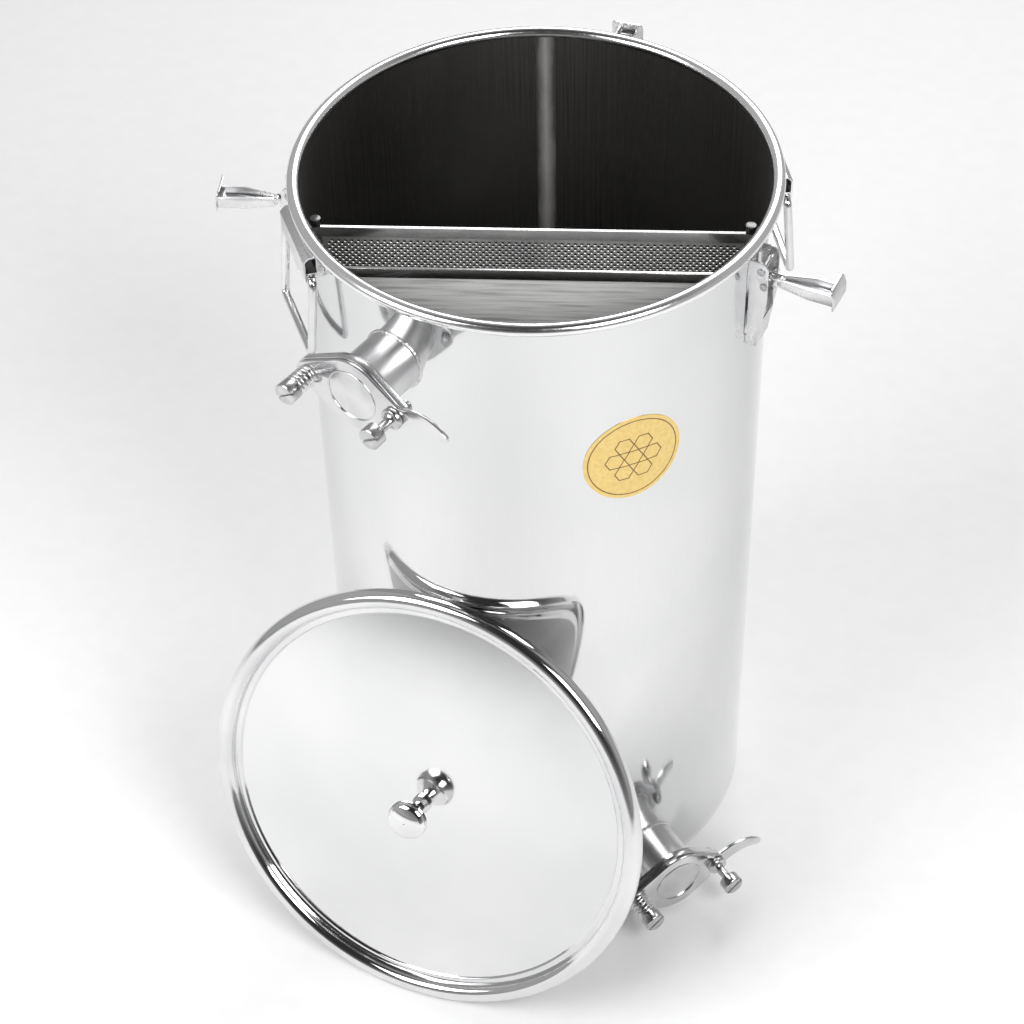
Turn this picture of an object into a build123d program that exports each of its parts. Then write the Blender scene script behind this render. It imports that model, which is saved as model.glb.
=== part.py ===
from build123d import *
import math
import os

# Honey straining can: a tall open can with two gate outlets, two lift-out sieves, three lid
# latches, two drop handles and a lid that leans against the front.
# Millimetres, +Z up, front towards -Y. The origin is the centre of the face it stands on.
# An azimuth is counted from the front, positive towards +X.

# Clearances
WELD_GAP = 0.05  # between a curved wall and what is welded to it
PIN_PLAY = 0.06  # radial, round a turning pin
TOUCH_GAP = 0.3  # between faces that move past each other or only lean together
GUIDE_PLAY = 0.4  # on each side of a sieve in its guides

# Can
CAN_RADIUS = 190.0
CAN_HEIGHT = 705.0
WALL = 1.2
BEAD_RADIUS = 5.2
BOTTOM_SHEET = 1.5
BOTTOM_EDGE = 7.0
CAN_INSIDE = CAN_RADIUS - WALL

# Outlets: heights of the two pipe axes, and how far they stand to each side of the front
OUTLET_AZIMUTH = 33.3
UPPER_DROP = 68.0
LOWER_HEIGHT = 39.3
PIPE_RADIUS = 25.4
PIPE_WALL = 1.5
PIPE_REACH = 40.5
PIPE_WELD_WIDTH = 1.4
PIPE_WELD_HEIGHT = 1.1
PIPE_BORE = PIPE_RADIUS - PIPE_WALL

# Gate flange and gate, in the plane square to the pipe
FLANGE_RADIUS = 33.0
FLANGE_THICKNESS = 7.0
PIVOT_OFFSET = 43.0
PIVOT_END_RADIUS = 12.5
CLAMP_OFFSET = 41.0
CLAMP_END_RADIUS = 11.5
FLANGE_CLAMP_RADIUS = 8.5
SEAL_RADIUS = 27.6
SEAL_SECTION = 1.6
SEAL_PROUD = 0.5
SEAL_SIDE_GAP = 0.1
GATE_INSET = 0.8
GATE_THICKNESS = 3.0
NOTCH_RADIUS = 5.0
TAIL_TOP = [(4.0, 9.0), (26.0, 14.0), (48.8, 5.0)]
TAIL_TIP = (50.4, 0.8)
TAIL_BOTTOM = [(46.3, -2.0), (31.8, 1.5), (8.0, -6.0)]

# Pivot screw, its spring, and the clamp screw
SHANK_RADIUS = 4.0
SCREW_HEAD_RADIUS = 9.3
SCREW_HEAD_HEIGHT = 10.0
SCREW_CHAMFER = 0.8
SLOT_WIDTH = 2.2
SLOT_DEPTH = 2.6
SLOT_TURN = 35.0
SPRING_SPACE = 19.0
SPRING_RADIUS = 8.2
SPRING_WIRE = 2.0
SPRING_TURNS = 4.5
CLAMP_STUD_RADIUS = 3.5
CLAMP_NECK_RADIUS = 4.0
CLAMP_FOOT_HEIGHT = 10.0
CLAMP_SHOULDER = (8.4, 4.6)
CLAMP_NECK_HEIGHT = 11.0
CLAMP_NUT_RADIUS = 5.5
CLAMP_NUT_HEIGHT = 6.5
CLAMP_NUT_BEVEL = 2.0

# Latches: depths are counted from the wall, drops from the rim
LATCH_AZIMUTHS = {"left": -92.5, "right": 67.0, "back": 164.5}
LATCH_TOP = 23.0
LATCH_KNEE = 62.0
LATCH_WEB_TOP = 80.0
LATCH_BOTTOM = 108.0
LATCH_DEPTH = 16.0
LATCH_FOOT_DEPTH = 9.5
LATCH_CROWN_RADIUS = 8.0
LATCH_HALF_WIDTH = 12.5
LATCH_SHEET = 1.5
LATCH_RELIEF = 1.2
LATCH_TACK = 9.0
RIVET_RADIUS = 2.0
RIVET_HEAD_RADIUS = 3.3
RIVET_HEAD_HEIGHT = 0.9
SPACER_DEPTH = 10.0
SPACER_DROP = 32.0
LEVER_DEPTH = 13.0
LEVER_DROP = 46.0

# Latch lever, counted outwards and upwards from its pivot
LEVER_SHEET = 1.4
LEVER_TOP = 6.4
LEVER_BOTTOM = -3.4
LEVER_BOSS_RADIUS = 4.2
LEVER_REACH = 57.0
NECK_HALF_WIDTH = 4.6
NECK_RADIUS = 3.4
NECK_END = 12.0
TROUGH_HALF_WIDTH = 8.7
TROUGH_SHOULDER = 36.0
LIP_HALF_WIDTH = 14.0
LIP_HEIGHT = 8.5
LIP_LEAN = 3.0
LIP_CORNER = 4.0

# Draw hook, which lies in the lever's trough when open
HOOK_PIN = (9.5, 0.5)
HOOK_PIN_RADIUS = 1.5
HOOK_EYE_RADIUS = 3.0
HOOK_END_GAP = 3.0
HOOK_LENGTH = LEVER_REACH - HOOK_PIN[0] - HOOK_END_GAP
HOOK_SHEET = 1.8
HOOK_SIDE_GAP = 0.5
HOOK_HALF_WIDTH = 5.5
HOOK_WAIST = 20.0
HOOK_SHOULDER = 32.0
CLAW_HEIGHT = 4.5

# Drop handles: a folded strap under the rim and a rod bail
HANDLE_AZIMUTHS = {"left": -68.5, "right": 102.0}
STRAP_HALF_LENGTH = 35.5
STRAP_SHEET = 1.5
STRAP_DROP = 12.5
STRAP_BEND = 4.5
BAIL_DEPTH = 8.0
BAIL_DROP = 33.0
BAIL_HALF_WIDTH = 41.0
BAIL_LENGTH = 71.0
BAIL_ROD = 3.5
BAIL_CORNER = 5.0
BAIL_LEAN = 5.0

# Sieves: distance of each sheet in front of the can's axis
SIEVES = {"coarse": 62.0, "fine": 112.0}
SIEVE_DROP = 15.0
SIEVE_FRAME = 3.0
SIEVE_BORDER = 9.0
SIEVE_SHEETS = {"coarse": 1.0, "fine": 0.8}
CAP_RISE = 8.0
CAP_HEIGHT = 6.5
CAP_RADIUS = 4.2
GUIDE_SHEET = 1.5
GUIDE_DROP = 28.5
GUIDE_GRIP = 6.5

# Label
LABEL_AZIMUTH = 26.0
LABEL_DROP = 155.5
LABEL_RADIUS = 42.5
LABEL_SHEET = 0.4

# Lid, counted from the middle of its edge along its own axis; it leans with its knob outwards
LID_AZIMUTH = -21.4
LID_LEAN = 18.2
LID_SHEET = 1.2
LID_OVERHANG = 4.1
LID_PLUG_GAP = 0.6
LID_RADIUS = CAN_INSIDE + 2 * BEAD_RADIUS + LID_OVERHANG
LID_WALL_RADIUS = CAN_INSIDE - LID_PLUG_GAP - LID_SHEET
LID_SKIRT = 9.0
LID_CROWN = 2.5
LID_CROWN_BEND = 7.8
LID_FOOT_BEND = 2.2
LID_PANEL_DROP = 8.0
LID_DOME = 6.0
LID_LEDGE_WIDTH = 5.0
LID_LEDGE_HEIGHT = 1.5
GASKET_SECTION = 1.5

# Knob, counted from the panel
KNOB_HEIGHT = 37.0
KNOB_RADIUS = 18.0
KNOB_EDGE = 28.0
KNOB_DOME = 4.0
KNOB_NECK_RADIUS = 6.4
KNOB_NECK_HEIGHT = 8.0
KNOB_FOOT_RADIUS = 8.5
KNOB_FOOT_HEIGHT = 3.0
KNOB_STUD_RADIUS = 3.0
KNOB_STUD_LENGTH = 9.0
WASHER_RADIUS = 9.0
WASHER_THICKNESS = 1.2
NUT_FLATS = 10.0
NUT_HEIGHT = 5.0


def facing(azimuth, height):
    """Frame on the can's axis: local X along the wall, local Y up, local Z straight out."""
    turn = math.radians(azimuth)
    out = (math.sin(turn), -math.cos(turn), 0)
    along = (math.cos(turn), math.sin(turn), 0)
    return Plane(origin=(0, 0, height), x_dir=along, z_dir=out)


def upright(radius):
    """Solid round bar on the can's axis, longer than the can at both ends."""
    return Pos(0, 0, CAN_HEIGHT / 2) * Cylinder(radius, 2 * CAN_HEIGHT)


def sleeve(inner, outer):
    """Tall tube on the can's axis."""
    return upright(outer) - upright(inner)


def rod(radius, start, end, at=(0, 0)):
    """Round bar along local Z between two heights."""
    return Pos(at[0], at[1], (start + end) / 2) * Cylinder(radius, end - start)


def slab(outline, start, end):
    """Plate along local Z between two heights."""
    return extrude(Pos(0, 0, start) * outline, end - start)


def side_slab(outline, start, end):
    """Plate along local X, from an outline drawn outwards and upwards."""
    plane = Plane(origin=(end, 0, 0), x_dir=(0, 0, 1), z_dir=(-1, 0, 0))
    return extrude(plane * outline, end - start)


def side_rod(radius, start, end, at):
    """Round bar along local X, centred on a place given outwards and upwards."""
    return side_slab(Pos(*at) * Circle(radius), start, end)


def polygon(*points):
    """Flat face inside straight edges."""
    return make_face(Polyline(*points, close=True))


def hull(*circles):
    """Flat face round several circles, each given as a place and a radius."""
    edges = []
    for place, radius in circles:
        edges.extend((Pos(*place) * Circle(radius)).edges())
    return make_hull(edges)


def spun(outline):
    """Solid turned about local Z from an outline of radii and heights."""
    return revolve(Plane.XZ * outline, Axis.Z)


# Can wall and bottom
upper_height = CAN_HEIGHT - UPPER_DROP
OUTLETS = {"upper": (-OUTLET_AZIMUTH, upper_height), "lower": (OUTLET_AZIMUTH, LOWER_HEIGHT)}


def can_shell():
    """Wall from the seam to the rolled rim, with the two outlet holes."""
    bead_height = CAN_HEIGHT - BEAD_RADIUS
    wall = polygon(
        (CAN_INSIDE, BOTTOM_EDGE),
        (CAN_RADIUS, BOTTOM_EDGE),
        (CAN_RADIUS, bead_height),
        (CAN_INSIDE, bead_height),
    )
    bead = Pos(CAN_INSIDE + BEAD_RADIUS, bead_height) * Circle(BEAD_RADIUS)
    shell = spun(wall + bead)
    for azimuth, height in OUTLETS.values():
        hole = rod(PIPE_RADIUS + WELD_GAP, CAN_INSIDE / 2, CAN_RADIUS + PIPE_REACH)
        shell -= facing(azimuth, height) * hole
    return shell


def can_bottom():
    """Shallow pan whose edge stands up to the seam."""
    return spun(
        polygon(
            (0, 0),
            (CAN_RADIUS, 0),
            (CAN_RADIUS, BOTTOM_EDGE),
            (CAN_INSIDE, BOTTOM_EDGE),
            (CAN_INSIDE, BOTTOM_SHEET),
            (0, BOTTOM_SHEET),
        )
    )


def label_disc():
    """Thin round plate that follows the wall."""
    punch = rod(LABEL_RADIUS, CAN_RADIUS / 2, 2 * CAN_RADIUS)
    punch = facing(LABEL_AZIMUTH, CAN_HEIGHT - LABEL_DROP) * punch
    inner = CAN_RADIUS + WELD_GAP
    return punch & sleeve(inner, inner + LABEL_SHEET)


# Gate outlets, drawn in the frame that faces along the pipe
flange_back = CAN_RADIUS + PIPE_REACH
flange_front = flange_back + FLANGE_THICKNESS
gate_back = flange_front + SEAL_PROUD + TOUCH_GAP
gate_front = gate_back + GATE_THICKNESS
head_back = gate_front + SPRING_SPACE
pivot_place = (-PIVOT_OFFSET, 0)
clamp_place = (CLAMP_OFFSET, 0)


def leaf(clamp_radius, inset=0):
    """Outline round the pipe, the pivot and the clamp."""
    return hull(
        ((0, 0), FLANGE_RADIUS - inset),
        (pivot_place, PIVOT_END_RADIUS - inset),
        (clamp_place, clamp_radius - inset),
    )


def outlet_pipe():
    """Stub pipe, not yet trimmed to the wall."""
    return rod(PIPE_RADIUS, CAN_RADIUS / 2, flange_back) - rod(PIPE_BORE, 0, flange_back)


def pipe_weld():
    """Round band of weld, not yet trimmed to the wall."""
    band = rod(PIPE_RADIUS + PIPE_WELD_WIDTH, CAN_RADIUS / 2, flange_back)
    return band - rod(PIPE_BORE, 0, flange_back)


def gate_flange():
    """Flat flange with its bore, seal groove and two screw holes."""
    groove_half = SEAL_SECTION + SEAL_SIDE_GAP
    groove_floor = flange_front - 2 * SEAL_SECTION + SEAL_PROUD
    groove = rod(SEAL_RADIUS + groove_half, groove_floor, gate_front)
    groove -= rod(SEAL_RADIUS - groove_half, groove_floor, gate_front)
    flange = slab(leaf(FLANGE_CLAMP_RADIUS), flange_back, flange_front) - groove
    flange -= rod(PIPE_BORE, CAN_RADIUS, gate_front)
    flange -= rod(SHANK_RADIUS + WELD_GAP, CAN_RADIUS, gate_front, pivot_place)
    return flange - rod(CLAMP_STUD_RADIUS + PIN_PLAY, CAN_RADIUS, gate_front, clamp_place)


def gate_seal():
    """Ring that stands a little proud of the flange."""
    return Pos(0, 0, flange_front + SEAL_PROUD - SEAL_SECTION) * Torus(SEAL_RADIUS, SEAL_SECTION)


def gate():
    """Leaf that covers the bore, with a notch for the clamp and a curved tail to lift it by."""
    tail = [
        ThreePointArc(*TAIL_TOP),
        ThreePointArc(TAIL_TOP[-1], TAIL_TIP, TAIL_BOTTOM[0]),
        ThreePointArc(*TAIL_BOTTOM),
        Line(TAIL_BOTTOM[-1], TAIL_TOP[0]),
    ]
    outline = leaf(CLAMP_END_RADIUS, GATE_INSET) + Pos(*clamp_place) * make_face(tail)
    notch_depth = 2 * CLAMP_END_RADIUS
    notch = Pos(CLAMP_OFFSET, -notch_depth / 2) * Rectangle(2 * NOTCH_RADIUS, notch_depth)
    outline -= notch + Pos(*clamp_place) * Circle(NOTCH_RADIUS)
    leaf_plate = slab(outline, gate_back, gate_front)
    return leaf_plate - rod(SHANK_RADIUS + PIN_PLAY, CAN_RADIUS, head_back, pivot_place)


def slotted(screw, at, top):
    """Screw with a driver slot across its face."""
    slot = Box(4 * SCREW_HEAD_RADIUS, SLOT_WIDTH, 2 * SLOT_DEPTH)
    return screw - Pos(at[0], at[1], top) * Rot(0, 0, SLOT_TURN) * slot


def pivot_screw():
    """Shank through gate and flange, with a thick slotted head."""
    top = head_back + SCREW_HEAD_HEIGHT
    outline = polygon(
        (0, flange_back),
        (SHANK_RADIUS, flange_back),
        (SHANK_RADIUS, head_back),
        (SCREW_HEAD_RADIUS, head_back),
        (SCREW_HEAD_RADIUS, top - SCREW_CHAMFER),
        (SCREW_HEAD_RADIUS - SCREW_CHAMFER, top),
        (0, top),
    )
    return slotted(Pos(*pivot_place) * spun(outline), pivot_place, top)


def helix_point(turn, start, pitch):
    """Place on the spring's centre line after some turns."""
    angle = 2 * math.pi * turn
    return Vector(
        SPRING_RADIUS * math.cos(angle), SPRING_RADIUS * math.sin(angle), start + pitch * turn
    )


def helix_tangent(turn, pitch):
    """Direction of the spring's centre line after some turns."""
    angle = 2 * math.pi * turn
    around = 2 * math.pi * SPRING_RADIUS
    return Vector(-around * math.sin(angle), around * math.cos(angle), pitch).normalized()


def biarc(start, start_tangent, end, end_tangent):
    """Two arcs that meet smoothly between two places with given directions."""
    chord = end - start
    both = start_tangent + end_tangent
    spread = 2 * (1 - start_tangent.dot(end_tangent))
    along = chord.dot(both)
    reach = (math.sqrt(along * along + spread * chord.dot(chord)) - along) / spread
    first = start + start_tangent * reach
    second = end - end_tangent * reach
    middle = (first + second) * 0.5
    return [
        TangentArc(start, middle, tangent=start_tangent),
        TangentArc(middle, end, tangent=(second - first).normalized()),
    ]


def pivot_spring():
    """Open coil between the gate and the screw's head, one unbroken wire."""
    start = gate_front + TOUCH_GAP + SPRING_WIRE / 2
    end = head_back - TOUCH_GAP - SPRING_WIRE / 2
    pitch = (end - start) / SPRING_TURNS
    quarters = round(4 * SPRING_TURNS)
    arcs = []
    for quarter in range(quarters):
        before = quarter / 4
        after = before + 1 / 4
        arcs += biarc(
            helix_point(before, start, pitch),
            helix_tangent(before, pitch),
            helix_point(after, start, pitch),
            helix_tangent(after, pitch),
        )
    path = Wire(arcs)
    section = Plane(origin=path @ 0, z_dir=path % 0) * Circle(SPRING_WIRE / 2)
    return Pos(*pivot_place) * sweep(section, path=path), self_gap(path)


def self_gap(path):
    """Least space between neighbouring turns of the spring, measured on points."""
    count = 200
    half_turn = round(count / SPRING_TURNS / 2)
    points = [path @ (index / count) for index in range(count + 1)]
    least = SPRING_RADIUS
    for index, point in enumerate(points):
        for other in points[index + half_turn :]:
            least = min(least, (point - other).length - SPRING_WIRE)
    return least


def clamp_screw():
    """Stud with a nut behind the flange, a bell-shaped foot on the gate, a neck and a slotted grip."""
    foot = gate_front + TOUCH_GAP
    neck = foot + CLAMP_FOOT_HEIGHT
    grip = neck + CLAMP_NECK_HEIGHT
    top = grip + SCREW_HEAD_HEIGHT
    clamp_nut_front = flange_back - TOUCH_GAP
    nut_back = clamp_nut_front - CLAMP_NUT_HEIGHT
    foot_radius = SCREW_HEAD_RADIUS - SCREW_CHAMFER
    shoulder_radius, shoulder_height = CLAMP_SHOULDER
    shoulder = (shoulder_radius, foot + shoulder_height)
    outline = make_face(
        [
            *Polyline(
                (CLAMP_NECK_RADIUS, neck),
                (CLAMP_NECK_RADIUS, grip),
                (SCREW_HEAD_RADIUS, grip),
                (SCREW_HEAD_RADIUS, top - SCREW_CHAMFER),
                (SCREW_HEAD_RADIUS - SCREW_CHAMFER, top),
                (0, top),
                (0, nut_back),
                (CLAMP_NUT_RADIUS - CLAMP_NUT_BEVEL, nut_back),
                (CLAMP_NUT_RADIUS, nut_back + CLAMP_NUT_BEVEL),
                (CLAMP_NUT_RADIUS, clamp_nut_front),
                (CLAMP_STUD_RADIUS, clamp_nut_front),
                (CLAMP_STUD_RADIUS, foot),
                (foot_radius, foot),
            ).edges(),
            ThreePointArc((foot_radius, foot), (SCREW_HEAD_RADIUS, foot + shoulder_height / 2), shoulder),
            TangentArc((CLAMP_NECK_RADIUS, neck), shoulder, tangent=(0, -1)),
        ]
    )
    return slotted(Pos(*clamp_place) * spun(outline), clamp_place, top)


def outlet_nodes(name, azimuth, height):
    """All pieces of one outlet, in place."""
    place = facing(azimuth, height)
    weld_inside = CAN_RADIUS + WELD_GAP
    pipe = place * outlet_pipe() - upright(CAN_INSIDE)
    pipe += (place * pipe_weld()) & sleeve(weld_inside, weld_inside + PIPE_WELD_HEIGHT)
    spring, gap = pivot_spring()
    print(f"{name}_pivot_spring: least gap to itself {gap:.2f} mm")
    return {
        f"{name}_outlet_pipe": pipe,
        f"{name}_gate_flange": place * gate_flange(),
        f"{name}_gate_seal": place * gate_seal(),
        f"{name}_gate": place * gate(),
        f"{name}_pivot_screw": place * pivot_screw(),
        f"{name}_pivot_spring": place * spring,
        f"{name}_clamp_screw": place * clamp_screw(),
    }


# Latches, drawn in the frame that faces straight out at the rim's height
latch_inner = LATCH_HALF_WIDTH - LATCH_SHEET
boss_outer = latch_inner - TOUCH_GAP
lever_place = (CAN_RADIUS + LEVER_DEPTH, -LEVER_DROP)
spacer_place = (CAN_RADIUS + SPACER_DEPTH, -SPACER_DROP)


def latch_base():
    """Channel of two side plates, joined low down by a sloping web, trimmed to the wall."""
    wall_side = CAN_RADIUS - BEAD_RADIUS
    outer = CAN_RADIUS + LATCH_DEPTH
    foot = CAN_RADIUS + LATCH_FOOT_DEPTH
    crown = LATCH_CROWN_RADIUS
    bend = crown * (1 - math.sqrt(0.5))
    edges = Polyline(
        (outer - crown, -LATCH_TOP),
        (wall_side, -LATCH_TOP),
        (wall_side, -LATCH_BOTTOM),
        (foot, -LATCH_BOTTOM),
        (outer, -LATCH_KNEE),
        (outer, -LATCH_TOP - crown),
    ).edges()
    crown_arc = ThreePointArc(
        (outer, -LATCH_TOP - crown),
        (outer - bend, -LATCH_TOP - bend),
        (outer - crown, -LATCH_TOP),
    )
    side = make_face([*edges, crown_arc])
    slope = (outer - foot) / (LATCH_BOTTOM - LATCH_KNEE)
    web_outer = outer - slope * (LATCH_WEB_TOP - LATCH_KNEE)
    web = polygon(
        (foot, -LATCH_BOTTOM),
        (web_outer, -LATCH_WEB_TOP),
        (web_outer - LATCH_SHEET, -LATCH_WEB_TOP),
        (foot - LATCH_SHEET, -LATCH_BOTTOM),
    )
    base = side_slab(side, -LATCH_HALF_WIDTH, -latch_inner)
    base += side_slab(side, latch_inner, LATCH_HALF_WIDTH)
    base += side_slab(web, -latch_inner, latch_inner)
    for place in (lever_place, spacer_place):
        base -= side_rod(RIVET_RADIUS + WELD_GAP, -LATCH_HALF_WIDTH, LATCH_HALF_WIDTH, place)
    return base


def latch_rivets():
    """Two rivets right across the base: the lever's pivot and a spacer."""
    end = LATCH_HALF_WIDTH + RIVET_HEAD_HEIGHT
    rivets = []
    for place in (lever_place, spacer_place):
        rivet = side_rod(RIVET_RADIUS, -LATCH_HALF_WIDTH, LATCH_HALF_WIDTH, place)
        rivet += side_rod(RIVET_HEAD_RADIUS, LATCH_HALF_WIDTH, end, place)
        rivets.append(rivet + side_rod(RIVET_HEAD_RADIUS, -end, -LATCH_HALF_WIDTH, place))
    return Compound(rivets)


def plan_slab(outline, bottom, top):
    """Plate of the lever from an outline drawn along the wall and outwards."""
    plane = Plane(origin=(0, top, 0), x_dir=(1, 0, 0), z_dir=(0, -1, 0))
    return extrude(plane * outline, top - bottom)


def strip_plan(stations):
    """Outline of a strip from half widths and the distances outwards where it has them."""
    return polygon(*stations, *[(-half, outward) for half, outward in reversed(stations)])


def trough_plan(inset, start):
    """Outline of the lever's narrow neck and wide trough, from some way out to its end."""
    stations = [
        (NECK_HALF_WIDTH - inset, start),
        (NECK_HALF_WIDTH - inset, NECK_END),
        (TROUGH_HALF_WIDTH - inset, TROUGH_SHOULDER),
        (TROUGH_HALF_WIDTH - inset, LEVER_REACH),
    ]
    return strip_plan(stations)


def lever_lip():
    """Upright plate across the end, with round top corners, its top leaning back."""
    end = LEVER_REACH + LEVER_SHEET
    top = LEVER_TOP + LIP_HEIGHT
    section = polygon(
        (LEVER_REACH, LEVER_BOTTOM),
        (end, LEVER_BOTTOM),
        (end, LEVER_TOP),
        (end - LIP_LEAN, top),
        (LEVER_REACH - LIP_LEAN, top),
        (LEVER_REACH, LEVER_TOP),
    )
    face = Pos(0, (LEVER_BOTTOM + top) / 2) * Rectangle(2 * LIP_HALF_WIDTH, top - LEVER_BOTTOM)
    face = fillet(face.vertices().group_by(Axis.Y)[-1], LIP_CORNER)
    lip = side_slab(section, -LIP_HALF_WIDTH, LIP_HALF_WIDTH)
    return lip & slab(face, LEVER_REACH - 2 * LIP_LEAN, end + LIP_LEAN)


def latch_lever():
    """Trough that widens outwards from two bosses on its pivot, closed by a raised lip."""
    neck_start = -2 * LEVER_BOSS_RADIUS
    floor_start = HOOK_PIN[0] + HOOK_EYE_RADIUS + HOOK_SIDE_GAP
    side = hull(((0, 0), LEVER_BOSS_RADIUS), (HOOK_PIN, NECK_RADIUS))
    side += polygon(
        (HOOK_PIN[0], HOOK_PIN[1] + NECK_RADIUS),
        (TROUGH_SHOULDER, LEVER_TOP),
        (LEVER_REACH, LEVER_TOP),
        (LEVER_REACH, LEVER_BOTTOM),
        (floor_start, LEVER_BOTTOM),
        (HOOK_PIN[0], HOOK_PIN[1] - NECK_RADIUS),
    )
    space = plan_slab(trough_plan(LEVER_SHEET, neck_start), -LEVER_REACH, LEVER_REACH)
    walls = plan_slab(trough_plan(0, neck_start), -LEVER_REACH, LEVER_REACH) - space
    lever = walls & side_slab(side, -TROUGH_HALF_WIDTH, TROUGH_HALF_WIDTH)
    floor = plan_slab(trough_plan(0, neck_start), LEVER_BOTTOM, LEVER_BOTTOM + LEVER_SHEET)
    floor_side = polygon(
        (floor_start, LEVER_BOTTOM),
        (LEVER_REACH, LEVER_BOTTOM),
        (LEVER_REACH, LEVER_TOP),
        (floor_start, LEVER_TOP),
    )
    lever += floor & side_slab(floor_side, -TROUGH_HALF_WIDTH, TROUGH_HALF_WIDTH)
    lever += lever_lip()
    for sign in (-1, 1):
        near, far = sorted((sign * (NECK_HALF_WIDTH - LEVER_SHEET), sign * boss_outer))
        lever += side_rod(LEVER_BOSS_RADIUS, near, far, (0, 0))
    lever -= side_rod(RIVET_RADIUS + PIN_PLAY, -boss_outer, boss_outer, (0, 0))
    return lever - side_rod(HOOK_PIN_RADIUS + WELD_GAP, -boss_outer, boss_outer, HOOK_PIN)


def latch_hook():
    """Flat strip with an eye at its narrow end and a raised claw across its wide end."""
    half = HOOK_SHEET / 2
    waist = NECK_HALF_WIDTH - LEVER_SHEET - HOOK_SIDE_GAP
    strip = polygon((0, -half), (HOOK_LENGTH, -half), (HOOK_LENGTH, half), (0, half))
    claw = polygon(
        (HOOK_LENGTH - HOOK_SHEET, -half),
        (HOOK_LENGTH, -half),
        (HOOK_LENGTH, half + CLAW_HEIGHT),
        (HOOK_LENGTH - HOOK_SHEET, half + CLAW_HEIGHT),
    )
    outline = strip + claw + Circle(HOOK_EYE_RADIUS)
    outline -= Circle(HOOK_PIN_RADIUS + PIN_PLAY)
    rest = LEVER_BOTTOM + LEVER_SHEET + TOUCH_GAP + half
    tilt = math.degrees(math.atan2(rest - HOOK_PIN[1], HOOK_LENGTH))
    hook = side_slab(Pos(*HOOK_PIN) * Rot(0, 0, tilt) * outline, -HOOK_HALF_WIDTH, HOOK_HALF_WIDTH)
    stations = [
        (waist, -LEVER_REACH),
        (waist, HOOK_PIN[0] + HOOK_WAIST),
        (HOOK_HALF_WIDTH, HOOK_PIN[0] + HOOK_SHOULDER),
        (HOOK_HALF_WIDTH, 2 * LEVER_REACH),
    ]
    return hook & plan_slab(strip_plan(stations), -LEVER_REACH, LEVER_REACH)


def latch_nodes(name, azimuth):
    """All pieces of one latch, with the lever swung open."""
    place = facing(azimuth, CAN_HEIGHT)
    lever = place * Pos(0, lever_place[1], lever_place[0])
    tack_bottom = CAN_HEIGHT - LATCH_BOTTOM + LATCH_TACK
    relief = rod(CAN_RADIUS + LATCH_RELIEF, tack_bottom, CAN_HEIGHT - LATCH_TOP - LATCH_TACK)
    pin = side_rod(HOOK_PIN_RADIUS, -NECK_HALF_WIDTH, NECK_HALF_WIDTH, HOOK_PIN)
    return {
        f"latch_{name}_base": place * latch_base() - upright(CAN_RADIUS + WELD_GAP) - relief,
        f"latch_{name}_rivets": place * latch_rivets(),
        f"latch_{name}_lever": lever * latch_lever(),
        f"latch_{name}_hook_pin": lever * pin,
        f"latch_{name}_hook": lever * latch_hook(),
    }


# Drop handles
bail_place = (CAN_RADIUS + BAIL_DEPTH, -BAIL_DROP)
strap_outer = BAIL_ROD + PIN_PLAY + STRAP_SHEET


def handle_strap():
    """Folded strap: out from the wall, down, and round the bail's bar."""
    wall_side = CAN_RADIUS - BEAD_RADIUS
    outer = bail_place[0] + strap_outer
    inner = bail_place[0] - strap_outer
    edges = Polyline(
        (inner, bail_place[1]),
        (wall_side, bail_place[1]),
        (wall_side, -STRAP_DROP),
        (outer - STRAP_BEND, -STRAP_DROP),
        (outer, -STRAP_DROP - STRAP_BEND),
        (outer, bail_place[1]),
    ).edges()
    fold = ThreePointArc(
        (outer, bail_place[1]), (bail_place[0], bail_place[1] - strap_outer), (inner, bail_place[1])
    )
    hollow_bottom = bail_place[1] + strap_outer
    hollow = polygon(
        (inner, hollow_bottom),
        (outer - STRAP_SHEET, hollow_bottom),
        (outer - STRAP_SHEET, -STRAP_DROP - STRAP_BEND),
        (outer - STRAP_BEND, -STRAP_DROP - STRAP_SHEET),
        (inner, -STRAP_DROP - STRAP_SHEET),
    )
    outline = make_face([*edges, fold]) - hollow
    strap = side_slab(outline, -STRAP_HALF_LENGTH, STRAP_HALF_LENGTH)
    return strap - side_rod(BAIL_ROD + PIN_PLAY, -STRAP_HALF_LENGTH, STRAP_HALF_LENGTH, bail_place)


def handle_bail():
    """Closed loop of round rod that hangs a little away from the wall."""
    corners = [
        (-BAIL_HALF_WIDTH, 0, 0),
        (BAIL_HALF_WIDTH, 0, 0),
        (BAIL_HALF_WIDTH, -BAIL_LENGTH, 0),
        (-BAIL_HALF_WIDTH, -BAIL_LENGTH, 0),
    ]
    path = FilletPolyline(*corners, radius=BAIL_CORNER, close=True)
    section = Plane(origin=path @ 0, z_dir=path % 0) * Circle(BAIL_ROD)
    return Rot(-BAIL_LEAN, 0, 0) * sweep(section, path=path)


def handle_nodes(name, azimuth):
    """Strap and bail of one handle."""
    place = facing(azimuth, CAN_HEIGHT)
    hang = place * Pos(0, bail_place[1], bail_place[0])
    return {
        f"handle_{name}_strap": place * handle_strap() - upright(CAN_RADIUS + WELD_GAP),
        f"handle_{name}_bail": hang * handle_bail(),
    }


# Sieves and their guides
sieve_top = CAN_HEIGHT - SIEVE_DROP
sieve_bottom = BOTTOM_SHEET + TOUCH_GAP
guide_half = SIEVE_FRAME / 2 + GUIDE_PLAY + GUIDE_SHEET


def sieve_half_width(distance):
    """Half the width of a sieve that leaves room for the backs of its guides."""
    wall_reach = math.sqrt(CAN_INSIDE**2 - (distance + guide_half) ** 2)
    return wall_reach - GUIDE_SHEET - GUIDE_PLAY


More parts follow.
